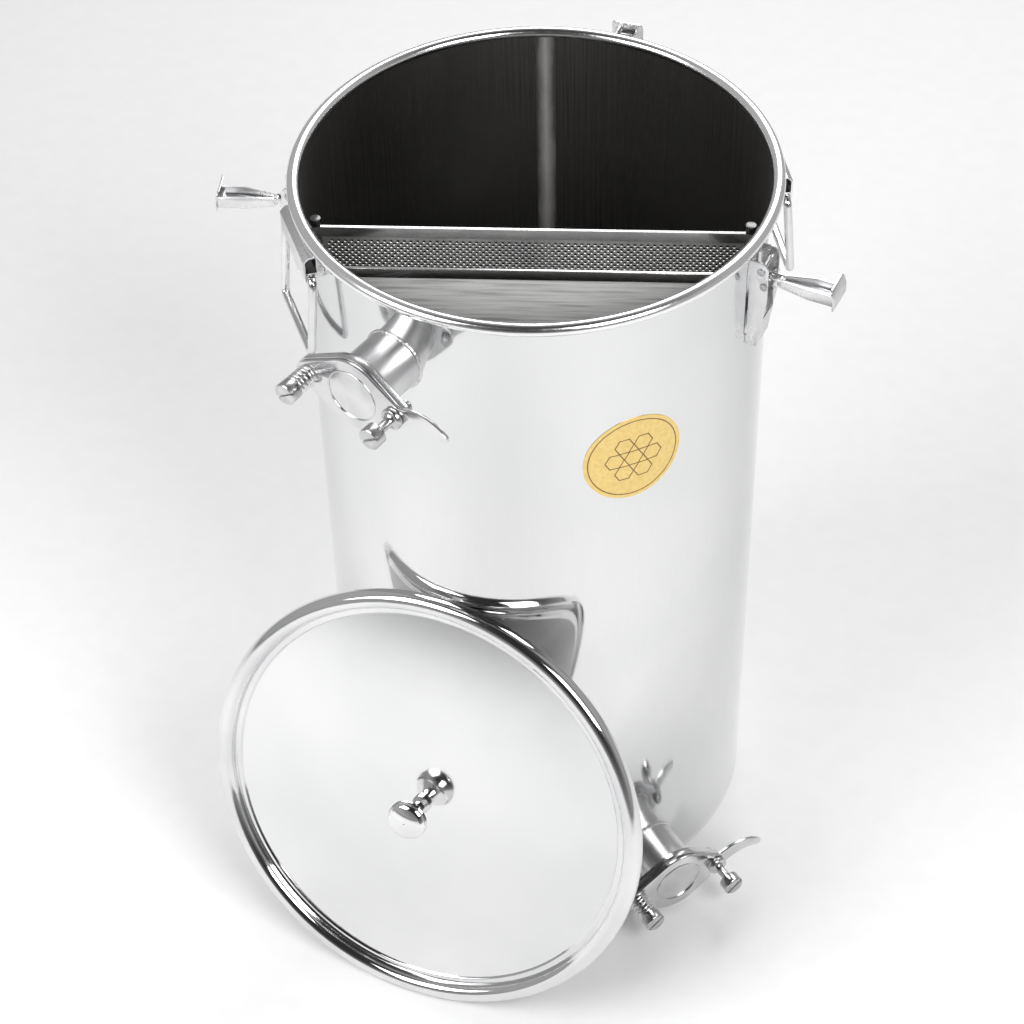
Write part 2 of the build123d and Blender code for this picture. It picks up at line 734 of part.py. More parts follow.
def block(x_range, y_range, z_range):
    """Box between three pairs of bounds."""
    sizes = [end - start for start, end in (x_range, y_range, z_range)]
    middles = [(end + start) / 2 for start, end in (x_range, y_range, z_range)]
    return Pos(*middles) * Box(*sizes)


def sieve_frame(distance):
    """Flat frame round a sieve's sheet."""
    half = sieve_half_width(distance)
    thickness = (-distance - SIEVE_FRAME / 2, -distance + SIEVE_FRAME / 2)
    opening = half - SIEVE_BORDER
    frame = block((-half, half), thickness, (sieve_bottom, sieve_top))
    return frame - block(
        (-opening, opening), thickness, (sieve_bottom + SIEVE_BORDER, sieve_top - SIEVE_BORDER)
    )


def sieve_caps(distance):
    """Two round caps on short posts, to lift a sieve by."""
    middle = sieve_half_width(distance) - SIEVE_BORDER / 2
    cap_top = sieve_top + CAP_RISE
    cap_bottom = cap_top - CAP_HEIGHT
    caps = []
    for side in (-1, 1):
        place = (side * middle, -distance)
        caps.append(rod(CAP_RADIUS, cap_bottom, cap_top, place))
        caps.append(rod(SIEVE_FRAME / 2, sieve_top, cap_bottom, place))
    return caps


def sieve_sheet(distance, thickness):
    """Sheet that fills the frame."""
    opening = sieve_half_width(distance) - SIEVE_BORDER
    return block(
        (-opening, opening),
        (-distance - thickness / 2, -distance + thickness / 2),
        (sieve_bottom + SIEVE_BORDER, sieve_top - SIEVE_BORDER),
    )


def sieve_guides(distance):
    """Two upright channels on the inside of the wall."""
    half = sieve_half_width(distance)
    groove = SIEVE_FRAME / 2 + GUIDE_PLAY
    heights = (BOTTOM_SHEET, CAN_HEIGHT - GUIDE_DROP)
    guides = []
    for side in (-1, 1):
        outer = tuple(sorted((side * (half - GUIDE_GRIP), side * CAN_RADIUS)))
        inner = tuple(sorted((side * (half - GUIDE_GRIP), side * (half + GUIDE_PLAY))))
        guide = block(outer, (-distance - guide_half, -distance + guide_half), heights)
        guide -= block(inner, (-distance - groove, -distance + groove), heights)
        guides.append((guide & upright(CAN_INSIDE - WELD_GAP)).solid())
    return Compound(guides)


def sieve_nodes(name, distance):
    """One sieve and its guides."""
    infill = "sheet" if name == "coarse" else "mesh"
    frame = sieve_frame(distance)
    if name == "coarse":
        frame += sieve_caps(distance)
    return {
        f"{name}_sieve_frame": frame,
        f"{name}_sieve_{infill}": sieve_sheet(distance, SIEVE_SHEETS[name]),
        f"{name}_sieve_guides": sieve_guides(distance),
    }


# Lid, drawn along its own axis with the knob towards +Z
panel_middle = LID_DOME - LID_PANEL_DROP
panel_back = panel_middle - LID_SHEET
washer_front = panel_back - WELD_GAP
nut_front = washer_front - WASHER_THICKNESS


def lid_shell():
    """Skirt, round rim channel, inner wall, low ledge and domed panel."""
    inner = LID_WALL_RADIUS
    back = inner + LID_SHEET
    panel = -LID_PANEL_DROP
    ledge = panel + LID_LEDGE_HEIGHT
    ledge_inner = inner - LID_LEDGE_WIDTH
    panel_edge = ledge_inner - LID_LEDGE_HEIGHT
    outline = Polyline(
        (panel_edge, panel),
        (ledge_inner, ledge),
        (inner, ledge),
        (inner, LID_CROWN),
        (LID_RADIUS, LID_CROWN),
        (LID_RADIUS, -LID_SKIRT),
        (LID_RADIUS - LID_SHEET, -LID_SKIRT),
        (LID_RADIUS - LID_SHEET, LID_CROWN - LID_SHEET),
        (back, LID_CROWN - LID_SHEET),
        (back, ledge - LID_SHEET),
        (ledge_inner, ledge - LID_SHEET),
        (panel_edge, panel - LID_SHEET),
    )
    dome_back = TangentArc((0, panel_back), (panel_edge, panel - LID_SHEET), tangent=(1, 0))
    dome_front = TangentArc((0, panel_middle), (panel_edge, panel), tangent=(1, 0))
    axis = Line((0, panel_back), (0, panel_middle))
    face = make_face([*outline.edges(), dome_back, axis, dome_front])
    for corner, radius in (
        ((LID_RADIUS, LID_CROWN), LID_CROWN_BEND),
        ((LID_RADIUS - LID_SHEET, LID_CROWN - LID_SHEET), LID_CROWN_BEND - LID_SHEET),
        ((inner, LID_CROWN), LID_CROWN_BEND),
        ((back, LID_CROWN - LID_SHEET), LID_CROWN_BEND - LID_SHEET),
        ((back, ledge - LID_SHEET), LID_FOOT_BEND),
        ((inner, ledge), LID_FOOT_BEND - LID_SHEET),
    ):
        vertex = face.vertices().sort_by_distance(Vector(*corner))[0]
        face = fillet(vertex, radius)
    hole = rod(KNOB_STUD_RADIUS + WELD_GAP, -KNOB_HEIGHT, KNOB_HEIGHT)
    return spun(face) - hole


def lid_gasket():
    """Round ring at the top of the channel."""
    height = LID_CROWN - LID_SHEET - GASKET_SECTION - WELD_GAP
    return Pos(0, 0, height) * Torus((LID_RADIUS + LID_WALL_RADIUS) / 2, GASKET_SECTION)


def lid_knob():
    """Mushroom knob with a foot, a waisted neck and a stud through the panel."""
    panel = panel_middle
    foot_top = (KNOB_FOOT_RADIUS, panel + KNOB_FOOT_HEIGHT)
    neck = (KNOB_NECK_RADIUS, panel + KNOB_NECK_HEIGHT)
    edge = (KNOB_RADIUS, panel + KNOB_EDGE)
    crown = panel + KNOB_HEIGHT
    stud_end = panel_back - KNOB_STUD_LENGTH
    shoulder = (KNOB_RADIUS - KNOB_DOME, crown - KNOB_DOME / 2)
    edges = [
        *Polyline(
            (0, crown),
            (0, stud_end),
            (KNOB_STUD_RADIUS, stud_end),
            (KNOB_STUD_RADIUS, panel),
            (KNOB_FOOT_RADIUS, panel),
            foot_top,
            neck,
        ).edges(),
        TangentArc(neck, edge, tangent=(0, 1)),
        ThreePointArc(edge, (KNOB_RADIUS - KNOB_DOME / 3, crown - KNOB_DOME), shoulder),
        TangentArc((0, crown), shoulder, tangent=(1, 0)),
    ]
    return spun(make_face(edges))


def knob_washer():
    """Flat ring behind the panel."""
    hole = rod(KNOB_STUD_RADIUS + WELD_GAP, nut_front, washer_front)
    return rod(WASHER_RADIUS, nut_front, washer_front) - hole


def knob_nut():
    """Six-sided nut on the knob's stud."""
    outline = RegularPolygon(NUT_FLATS / 2, 6, major_radius=False)
    return slab(outline - Circle(KNOB_STUD_RADIUS + WELD_GAP), nut_front - NUT_HEIGHT, nut_front)


def lid_nodes():
    """The lid's pieces, with its edge on the floor and its back against the wall."""
    lean = math.radians(LID_LEAN)
    reach = LID_RADIUS * math.sin(lean) + LID_SKIRT * math.cos(lean)
    rise = LID_RADIUS * math.cos(lean) + LID_SKIRT * math.sin(lean)
    place = facing(LID_AZIMUTH, TOUCH_GAP + rise) * Pos(0, 0, CAN_RADIUS + TOUCH_GAP + reach)
    place *= Rot(-LID_LEAN, 0, 0)
    return {
        "lid_shell": place * lid_shell(),
        "lid_gasket": place * lid_gasket(),
        "lid_knob": place * lid_knob(),
        "lid_knob_washer": place * knob_washer(),
        "lid_knob_nut": place * knob_nut(),
    }


nodes = {"can_shell": can_shell(), "can_bottom": can_bottom(), "label_disc": label_disc()}
for name, (azimuth, height) in OUTLETS.items():
    nodes |= outlet_nodes(name, azimuth, height)
for name, azimuth in LATCH_AZIMUTHS.items():
    nodes |= latch_nodes(name, azimuth)
for name, azimuth in HANDLE_AZIMUTHS.items():
    nodes |= handle_nodes(name, azimuth)
for name, distance in SIEVES.items():
    nodes |= sieve_nodes(name, distance)
nodes |= lid_nodes()

os.makedirs("parts", exist_ok=True)
for name, shape in nodes.items():
    export_step(shape, f"parts/{name}.step")
print(f"{len(nodes)} nodes written")
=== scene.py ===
import logging
import math
from dataclasses import dataclass
from enum import Enum
from typing import Optional, Protocol, Sequence

import bmesh
import bpy
from mathutils import Matrix, Vector


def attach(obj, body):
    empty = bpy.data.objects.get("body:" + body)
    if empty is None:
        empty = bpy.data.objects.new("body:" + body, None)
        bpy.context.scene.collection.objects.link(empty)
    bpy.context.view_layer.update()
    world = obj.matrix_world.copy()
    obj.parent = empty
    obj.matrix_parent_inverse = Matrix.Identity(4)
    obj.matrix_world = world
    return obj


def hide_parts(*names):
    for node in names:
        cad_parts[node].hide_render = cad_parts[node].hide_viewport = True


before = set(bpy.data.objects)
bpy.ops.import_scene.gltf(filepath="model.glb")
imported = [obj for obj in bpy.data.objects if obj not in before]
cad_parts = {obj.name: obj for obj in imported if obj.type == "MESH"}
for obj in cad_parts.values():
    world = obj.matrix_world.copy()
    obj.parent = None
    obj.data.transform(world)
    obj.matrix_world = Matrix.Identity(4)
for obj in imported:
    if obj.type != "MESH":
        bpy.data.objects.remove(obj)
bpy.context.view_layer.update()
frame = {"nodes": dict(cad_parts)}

LOG = logging.getLogger("honey_can")

# Metres in a millimetre, which is the unit of the sizes below
MM = 0.001
FULL_TURN = 2.0 * math.pi

# The can's outer and inner radius, its height, and where the bore ends under the rolled rim
CAN_RADIUS = 190.0
CAN_INSIDE = 188.8
CAN_HEIGHT = 705.0
BORE_TOP = 698.4

# Sections round a large turned piece, and how close its points are when they are one
ROUND_STEPS = 360
SAME_POINT = 1e-4

# In copies of CAD meshes: how close points and how flat faces are when they are one, and how sharp
# an edge is when it gets broken and when it stays sharp, in millimetres and degrees
CAD_SAME_POINT = 0.004
CAD_SAME_PLANE = 0.3
CAD_SHARP_EDGE = 30.0
CAD_CREASE = 32.0

# Range that most values of a soft noise lie in
NOISE_RANGE = (0.3, 0.7)

Colour = tuple[float, float, float]
Place = tuple[float, float, float]
Range = tuple[float, float]
Socket = bpy.types.NodeSocket


class Slot(Enum):
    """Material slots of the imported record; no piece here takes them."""

    CAN = "can_steel"
    POLISHED = "polished_steel"
    LATCH = "latch_steel"
    SCREW = "screw_steel"
    SIEVE = "sieve_steel"
    LID = "lid_steel"
    LABEL = "label_gold"


class Brush(Enum):
    """Stretch of the fine marks that polishing leaves, along each axis of the frame."""

    LEVEL = (4.0, 4.0, 900.0)
    UPRIGHT = (700.0, 700.0, 5.0)
    EVEN = (260.0, 260.0, 260.0)


class Mix(Enum):
    """What a Mix node mixes, with the numbers of the inputs and the output that it then uses."""

    COLOUR = ("RGBA", (0, 6, 7), 2)
    NUMBER = ("FLOAT", (0, 2, 3), 0)


class Graph:
    """Node tree of one material, with short calls for the nodes that the finishes share."""

    def __init__(self, name: str) -> None:
        """Starts a material with a Principled shader and its output.

        Args:
            name: The material's name.
        """
        self.material = bpy.data.materials.new(name)
        self.material.use_nodes = True
        self.tree = self.material.node_tree
        self.tree.nodes.clear()
        self.shader = self.node("ShaderNodeBsdfPrincipled")
        output = self.node("ShaderNodeOutputMaterial")
        self.tree.links.new(self.shader.outputs["BSDF"], output.inputs["Surface"])
        self.object_place = self.node("ShaderNodeTexCoord").outputs["Object"]

    def node(self, kind: str, **inputs: object) -> bpy.types.Node:
        """Adds a node.

        Args:
            kind: The node's type name.
            **inputs: Values or sockets for its inputs, with spaces written as underscores.

        Returns:
            The new node.
        """
        made = self.tree.nodes.new(kind)
        self.set(made, **inputs)
        return made

    def set(self, node: bpy.types.Node, **inputs: object) -> None:
        """Sets or links inputs of a node, with spaces written as underscores."""
        for key, value in inputs.items():
            self.feed(node.inputs[key.replace("_", " ")], value)

    def feed(self, socket: Socket, value: object) -> None:
        """Links a socket, or sets its own value.

        Args:
            socket: The input to feed.
            value: The socket that it is linked to, or its value, a colour without alpha.
        """
        if isinstance(value, bpy.types.NodeSocket):
            self.tree.links.new(value, socket)
        elif socket.type == "RGBA":
            socket.default_value = (*value, 1.0)
        else:
            socket.default_value = value

    def axes(self) -> Sequence[Socket]:
        """Object coordinates along X, Y and Z."""
        return self.node("ShaderNodeSeparateXYZ", Vector=self.object_place).outputs

    def mapped(self, scale: Sequence[float]) -> Socket:
        """Object coordinates stretched along each axis."""
        node = self.node("ShaderNodeMapping", Vector=self.object_place, Scale=scale)
        return node.outputs["Vector"]

    def noise(self, place: Socket, scale: float, detail: float = 2.0) -> Socket:
        """Soft noise at a place, about 0.5 in the middle."""
        node = self.node("ShaderNodeTexNoise", Vector=place, Scale=scale, Detail=detail)
        return node.outputs["Fac"]

    def math(self, kind: str, first: object, second: object = 0.0) -> Socket:
        """Adds a Math node.

        Args:
            kind: Its operation.
            first: Its first socket or number.
            second: Its second socket or number.

        Returns:
            The result.
        """
        node = self.node("ShaderNodeMath")
        node.operation = kind
        self.feed(node.inputs[0], first)
        self.feed(node.inputs[1], second)
        return node.outputs[0]

    def spread(self, value: Socket, source: Range, target: Range = (0.0, 1.0)) -> Socket:
        """Value moved from one range to another and kept inside it.

        Args:
            value: The socket to read.
            source: The range that it has.
            target: The range that it gets.

        Returns:
            The moved value.
        """
        node = self.node("ShaderNodeMapRange", Value=value)
        for label, end in zip(("From Min", "From Max", "To Min", "To Max"), (*source, *target)):
            node.inputs[label].default_value = end
        return node.outputs["Result"]

    def blend(self, share: Socket, first: object, second: object, mix: Mix = Mix.COLOUR) -> Socket:
        """Colour or number between two values or sockets.

        Args:
            share: The second one's share.
            first: The value at a share of 0.
            second: The value at a share of 1.
            mix: What is mixed.

        Returns:
            The mixed value.
        """
        data_type, inputs, output = mix.value
        node = self.node("ShaderNodeMix")
        node.data_type = data_type
        for number, value in zip(inputs, (share, first, second)):
            self.feed(node.inputs[number], value)
        return node.outputs[output]

    def finished(
        self, tint: Socket, rough: Socket, height: Socket, relief: Range, metallic: float = 1.0
    ) -> bpy.types.Material:
        """Feeds the shader, with a bump from a height.

        Args:
            tint: The colour.
            rough: The roughness.
            height: The height of the relief.
            relief: How strongly the relief shows, and the height of a full step in metres.
            metallic: How far it is metal.

        Returns:
            The material.
        """
        strength, depth = relief
        bump = self.node("ShaderNodeBump", Height=height, Strength=strength, Distance=depth)
        normal = bump.outputs["Normal"]
        self.set(self.shader, Base_Color=tint, Metallic=metallic, Roughness=rough, Normal=normal)
        return self.material


@dataclass(frozen=True)
class Steel:
    """Metal finish: tint, gloss, polishing marks and soft clouds where it was handled.

    Attributes:
        name: The material's name.
        tint: Colour where it is clean.
        dull_tint: Colour where it was handled.
        roughness: Range of its roughness.
        marks: How strongly the polishing marks show.
        clouds: Scale of the clouds.
        brush: Stretch of the polishing marks.
    """

    name: str
    tint: Colour
    dull_tint: Colour
    roughness: Range
    marks: float
    clouds: float
    brush: Brush = Brush.EVEN
    mark_detail: float = 3.0
    mark_depth: float = 0.0001
    cloud_detail: float = 4.0
    cloud_range: Range = (0.36, 0.66)
    cloud_share: float = 0.6
    gloss_range: Range = (0.35, 0.65)

    def paint(self, graph: Graph) -> tuple[Socket, Socket, Socket]:
        """Adds the finish's nodes to a graph.

        Args:
            graph: The graph that takes them.

        Returns:
            The tint, the roughness and the height of the polishing marks.
        """
        marks = graph.noise(graph.mapped(self.brush.value), 1.0, self.mark_detail)
        clouds = graph.noise(graph.object_place, self.clouds, self.cloud_detail)
        tint = graph.blend(graph.spread(clouds, self.cloud_range), self.tint, self.dull_tint)
        cloud_part = graph.math("MULTIPLY", clouds, self.cloud_share)
        mark_part = graph.math("MULTIPLY", marks, 1.0 - self.cloud_share)
        gloss = graph.math("ADD", cloud_part, mark_part)
        return tint, graph.spread(gloss, self.gloss_range, self.roughness), marks

    def make(self) -> bpy.types.Material:
        """Builds the finish.

        Returns:
            The material.
        """
        graph = Graph(self.name)
        tint, rough, marks = self.paint(graph)
        return graph.finished(tint, rough, marks, self.relief())

    def relief(self) -> Range:
        """How strongly the polishing marks show, and their depth in metres."""
        return self.marks, self.mark_depth


@dataclass(frozen=True)
class WallSteel:
    """Finish of the can's wall: mirror polish outside; inside, the same steel in a dark, streaked tint that
    is painted shade.
    """

    name: str
    outside: Steel
    inside: Steel
    border_radius: float
    border_height: float
    streak_range: Range = (0.4, 0.62)

    def make(self) -> bpy.types.Material:
        """Builds the finish.

        Returns:
            The material.
        """
        graph = Graph(self.name)
        x, y, z = graph.axes()
        squares = [graph.math("MULTIPLY", axis, axis) for axis in (x, y)]
        radius = graph.math("SQRT", graph.math("ADD", *squares))
        within = graph.math("LESS_THAN", radius, self.border_radius * MM)
        below = graph.math("LESS_THAN", z, self.border_height * MM)
        # Painted shade: the inner face below the rim takes the dark inside tint
        inside = graph.math("MULTIPLY", within, below)
        outer_tint, outer_rough, marks = self.outside.paint(graph)
        inner_tint, inner_rough, streaks = self.inside.paint(graph)
        streak_share = graph.spread(streaks, self.streak_range)
        streaked = graph.blend(streak_share, inner_tint, self.inside.dull_tint)
        tint = graph.blend(inside, outer_tint, streaked)
        rough = graph.blend(inside, outer_rough, inner_rough, Mix.NUMBER)
        return graph.finished(tint, rough, marks, self.outside.relief())


@dataclass(frozen=True)
class CappedSteel:
    """Finish of a sieve's frame, with dark caps on its posts."""

    name: str
    frame: Steel
    cap: Colour
    border_height: float

    def make(self) -> bpy.types.Material:
        """Builds the finish.

        Returns:
            The material.
        """
        graph = Graph(self.name)
        tint, rough, marks = self.frame.paint(graph)
        above = graph.math("GREATER_THAN", graph.axes()[2], self.border_height * MM)
        capped = graph.blend(above, tint, self.cap)
        return graph.finished(capped, rough, marks, self.frame.relief())


@dataclass(frozen=True)
class SeamSteel:
    """Finish of the weld seam at the back: bright in its middle, fading into the wall."""

    name: str
    bright: Colour
    border: Colour
    half_width: float
    dash_stretch: Place = (60.0, 60.0, 26.0)
    dash_detail: float = 4.0
    metallic: float = 0.6
    roughness: Range = (0.3, 0.46)
    relief: Range = (0.1, 0.0003)

    def make(self) -> bpy.types.Material:
        """Builds the finish.

        Returns:
            The material.
        """
        graph = Graph(self.name)
        across = graph.math("ABSOLUTE", graph.axes()[0])
        dashes = graph.noise(graph.mapped(self.dash_stretch), 1.0, self.dash_detail)
        wander = graph.math("MULTIPLY", graph.math("SUBTRACT", dashes, 0.5), self.half_width * MM)
        share = graph.spread(graph.math("ADD", across, wander), (0.0, self.half_width * MM))
        tint = graph.blend(share, self.bright, self.border)
        rough = graph.spread(dashes, NOISE_RANGE, self.roughness)
        return graph.finished(tint, rough, dashes, self.relief, self.metallic)


@dataclass(frozen=True)
class WeaveSteel:
    """Finish of the fine cloth: level and upright wires close together, with uneven rows."""

    name: str
    wire: Colour
    gap: Colour
    pitch: float
    row_stretch: Place = (16.0, 16.0, 380.0)
    row_detail: float = 3.0
    cross_height: float = 0.22
    gap_range: Range = (0.32, 0.5)
    metallic: float = 0.3
    roughness: Range = (0.55, 0.35)
    relief: Range = (0.35, 0.0003)

    def make(self) -> bpy.types.Material:
        """Builds the finish.

        Returns:
            The material.
        """
        graph = Graph(self.name)
        x, _, z = graph.axes()
        turns = FULL_TURN / (self.pitch * MM)
        waves = [graph.math("SINE", graph.math("MULTIPLY", axis, turns)) for axis in (x, z)]
        cross = graph.math("MULTIPLY", graph.math("MULTIPLY", *waves), self.cross_height)
        rows = graph.noise(graph.mapped(self.row_stretch), 1.0, self.row_detail)
        woven = graph.math("ADD", cross, rows)
        tint = graph.blend(graph.spread(woven, self.gap_range), self.gap, self.wire)
        rough = graph.spread(rows, NOISE_RANGE, self.roughness)
        return graph.finished(tint, rough, woven, self.relief, self.metallic)


@dataclass(frozen=True)
class Coating:
    """Finish that isn't bare metal: silicone, printed foil or ink, with a fine grain."""

    name: str
    tint: Colour
    shade: Colour
    roughness: Range
    grain: float
    metallic: float = 0.0
    grain_detail: float = 3.0
    grain_range: Range = (0.35, 0.65)
    relief: Range = (0.08, 0.0002)

    def make(self) -> bpy.types.Material:
        """Builds the finish.

        Returns:
            The material.
        """
        graph = Graph(self.name)
        grain = graph.noise(graph.object_place, self.grain, self.grain_detail)
        tint = graph.blend(graph.spread(grain, self.grain_range), self.tint, self.shade)
        rough = graph.spread(grain, NOISE_RANGE, self.roughness)
        return graph.finished(tint, rough, grain, self.relief, self.metallic)


def grey(level: float) -> Colour:
    """Neutral colour."""
    return (level, level, level)


OUTSIDE = Steel(
    "can_outside",
    grey(0.78),
    (0.69, 0.695, 0.7),
    (0.05, 0.11),
    marks=0.02,
    clouds=3.2,
    brush=Brush.LEVEL,
)
# Painted shade: the can's inside is the same steel as the outside, tinted dark because it lies in shade
SHADED_INSIDE = Steel(
    "can_inside_painted_shade",
    (0.5, 0.49, 0.475),
    (0.3, 0.293, 0.283),
    (0.28, 0.4),
    marks=0.02,
    clouds=6.0,
    brush=Brush.UPRIGHT,
)
CASTING = Steel("polished_casting", grey(0.74), (0.58, 0.58, 0.59), (0.16, 0.26), marks=0.03, clouds=30.0)


class Finish(Enum):
    """Every finish that the can's pieces wear."""

    WALL = WallSteel("can_wall", OUTSIDE, SHADED_INSIDE, border_radius=189.4, border_height=BORE_TOP)
    RIM = Steel("rolled_rim", grey(0.93), (0.86, 0.86, 0.87), (0.14, 0.22), marks=0.02, clouds=9.0)
    SHEET = Steel(
        "bright_sheet",
        grey(0.92),
        grey(0.8),
        (0.08, 0.16),
        marks=0.03,
        clouds=9.0,
        brush=Brush.LEVEL,
    )
    SHADE = Steel(
        "shaded_sheet",
        (0.4, 0.39, 0.38),
        (0.22, 0.215, 0.21),
        (0.26, 0.36),
        marks=0.02,
        clouds=9.0,
        brush=Brush.UPRIGHT,
    )
    SEAM = SeamSteel("planished_seam", (0.62, 0.61, 0.59), (0.1, 0.098, 0.095), half_width=8.0)
    CAST = CASTING
    PIPE = Steel("satin_pipe", grey(0.8), (0.66, 0.66, 0.67), (0.3, 0.4), marks=0.04, clouds=30.0)
    CAPPED = CappedSteel("sieve_frame", CASTING, grey(0.14), border_height=691.0)
    PRESSED = Steel("pressed_sheet", grey(0.8), (0.68, 0.68, 0.69), (0.24, 0.34), marks=0.03, clouds=24.0)
    TURNED = Steel("turned_screw", grey(0.64), (0.42, 0.42, 0.43), (0.16, 0.28), marks=0.06, clouds=60.0)
    WIRE = Steel("drawn_wire", grey(0.84), (0.55, 0.55, 0.56), (0.16, 0.28), marks=0.04, clouds=70.0)
    ROD = Steel("polished_rod", grey(0.82), (0.66, 0.66, 0.67), (0.06, 0.12), marks=0.02, clouds=20.0)
    PUNCHED = Steel("punched_sheet", (0.76, 0.76, 0.75), grey(0.48), (0.4, 0.55), marks=0.05, clouds=16.0)
    LID = Steel("lid_sheet", grey(0.82), (0.74, 0.745, 0.75), (0.07, 0.15), marks=0.01, clouds=5.0)
    # Painted shade: the lid's underside is the same steel as its top, tinted darker as it faces the can in
    # shade
    LINING = Steel("lid_underside_painted_shade", grey(0.44), grey(0.32), (0.24, 0.36), marks=0.02, clouds=6.0)
    LID_RIM = Steel("lid_rim_polished", grey(0.8), (0.7, 0.7, 0.71), (0.05, 0.11), marks=0.01, clouds=12.0)
    CHROME = Steel("knob_mirror", grey(0.86), (0.78, 0.78, 0.79), (0.02, 0.05), marks=0.005, clouds=20.0)
    WELD = Steel("ground_weld", (0.78, 0.77, 0.76), (0.5, 0.49, 0.48), (0.26, 0.4), marks=0.12, clouds=80.0)
    CLOTH = WeaveSteel("fine_wire_cloth", (0.98, 0.98, 0.97), grey(0.4), pitch=0.9)
    RUBBER = Coating("silicone_seal", (0.82, 0.82, 0.8), (0.74, 0.74, 0.72), (0.45, 0.6), grain=180.0)
    FOIL = Coating(
        "gold_foil", (0.86, 0.64, 0.24), (0.8, 0.57, 0.19), (0.3, 0.42), grain=300.0, metallic=0.35
    )
    INK = Coating(
        "brown_ink", (0.22, 0.12, 0.03), (0.17, 0.09, 0.02), (0.4, 0.5), grain=400.0, metallic=0.1
    )

    def material(self) -> bpy.types.Material:
        """The finish's material, built at its first use."""
        return bpy.data.materials.get(self.value.name) or self.value.make()


def facing(azimuth: float, height: float) -> Matrix:
    """Turns millimetres drawn along the wall, up and straight out into the frame's metres.

    Args:
        azimuth: Degrees from the front, positive towards +X.
        height: Millimetres above the floor.

    Returns:
        The matrix, with its origin on the can's axis.
    """
    turn = math.radians(azimuth)
    along = Vector((math.cos(turn), math.sin(turn), 0.0))
    out = Vector((math.sin(turn), -math.cos(turn), 0.0))
    matrix = Matrix((along, Vector((0.0, 0.0, 1.0)), out)).transposed().to_4x4()
    matrix.translation = (0.0, 0.0, height)
    return Matrix.Scale(MM, 4) @ matrix


def add_piece(
    name: str,
    shape: bmesh.types.BMesh,
    finish: Finish,
    body: str,
    replaced: Sequence[str] = (),
    place: Optional[Matrix] = None,
    crease: float = 35.0,
) -> None:
    """Makes a finished piece from a shape and lets it ride on its body.

    Args:
        name: The piece's name.
        shape: The shape, which is used up.
        finish: The finish that it wears.
        body: The CAD body that carries it.
        replaced: The CAD nodes that it stands for.
        place: The matrix from the shape's own frame to metres, if it isn't in metres yet.
        crease: Degrees between faces from which an edge stays sharp.
    """
    if place is not None:
        bmesh.ops.transform(shape, matrix=place, verts=shape.verts)
    mesh = bpy.data.meshes.new(name)
    shape.to_mesh(mesh)
    shape.free()
    mesh.shade_smooth()
    mesh.set_sharp_from_angle(angle=math.radians(crease))
    mesh.materials.append(finish.material())
    made = bpy.data.objects.new(name, mesh)
    bpy.context.scene.collection.objects.link(made)
    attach(made, body)
    if replaced:
        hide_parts(*replaced)
    LOG.info("%s: %d faces on %s", name, len(mesh.polygons), body)


def dress(node: str, finish: Finish) -> None:
    """Gives a CAD node that stays in view its finish."""
    frame["nodes"][node].material_slots[0].material = finish.material()
    LOG.info("%s: dressed in %s", node, finish.value.name)


def ease_edges(node: str, finish: Finish, body: str, width: float) -> None:
    """Makes a copy of a CAD node with its edges broken, to stand for it.

    Args:
        node: The CAD node.
        finish: The finish that the copy wears.
        body: The body that carries it.
        width: Width of the broken edge, in millimetres.
    """
    shape = bmesh.new()
    shape.from_mesh(frame["nodes"][node].data)
    bmesh.ops.remove_doubles(shape, verts=shape.verts, dist=CAD_SAME_POINT * MM)
    flat = math.radians(CAD_SAME_PLANE)
    bmesh.ops.dissolve_limit(shape, angle_limit=flat, verts=shape.verts, edges=shape.edges)
    between_two = [edge for edge in shape.edges if len(edge.link_faces) == 2]
    sharp = [edge for edge in between_two if edge.calc_face_angle() > math.radians(CAD_SHARP_EDGE)]
    bmesh.ops.bevel(
        shape,
        geom=sharp,
        offset=width * MM,
        offset_type="OFFSET",
        segments=2,
        profile=0.5,
        affect="EDGES",
        clamp_overlap=True,
        material=-1,
    )
    add_piece(f"{node}_eased", shape, finish, body, (node,), crease=CAD_CREASE)


def rounded(corners: Sequence[tuple[float, float, float]], pieces: int = 8) -> list[Vector]:
    """Closed outline through corners that are bent round.

    Args:
        corners: Each corner's place across and up, and the radius of its bend, 0 for a sharp one.
        pieces: Number of straight pieces on a bend.

    Returns:
        The outline's points.
    """
    points = []
    for number, (across, up, bend) in enumerate(corners):
        here = Vector((across, up))
        if not bend:
            points.append(here)
            continue
        before = (Vector(corners[number - 1][:2]) - here).normalized()
        after = (Vector(corners[(number + 1) % len(corners)][:2]) - here).normalized()
        half = before.angle(after) / 2.0
        middle = here + (before + after).normalized() * bend / math.sin(half)
        start, end = (here + side * bend / math.tan(half) - middle for side in (before, after))
        for step in range(pieces + 1):
            points.append(middle + bend * start.slerp(end, step / pieces).normalized())
    return points


def oval(middle: Vector, across: float, up: float, sides: int) -> list[Vector]:
    """Closed outline of an oval section.

    Args:
        middle: Its middle, across and up.
        across: Half its width.
        up: Half its height.
        sides: Number of its points.

    Returns:
        The outline's points.
    """
    turns = [FULL_TURN * side / sides for side in range(sides)]
    return [middle + Vector((across * math.cos(turn), up * math.sin(turn))) for turn in turns]


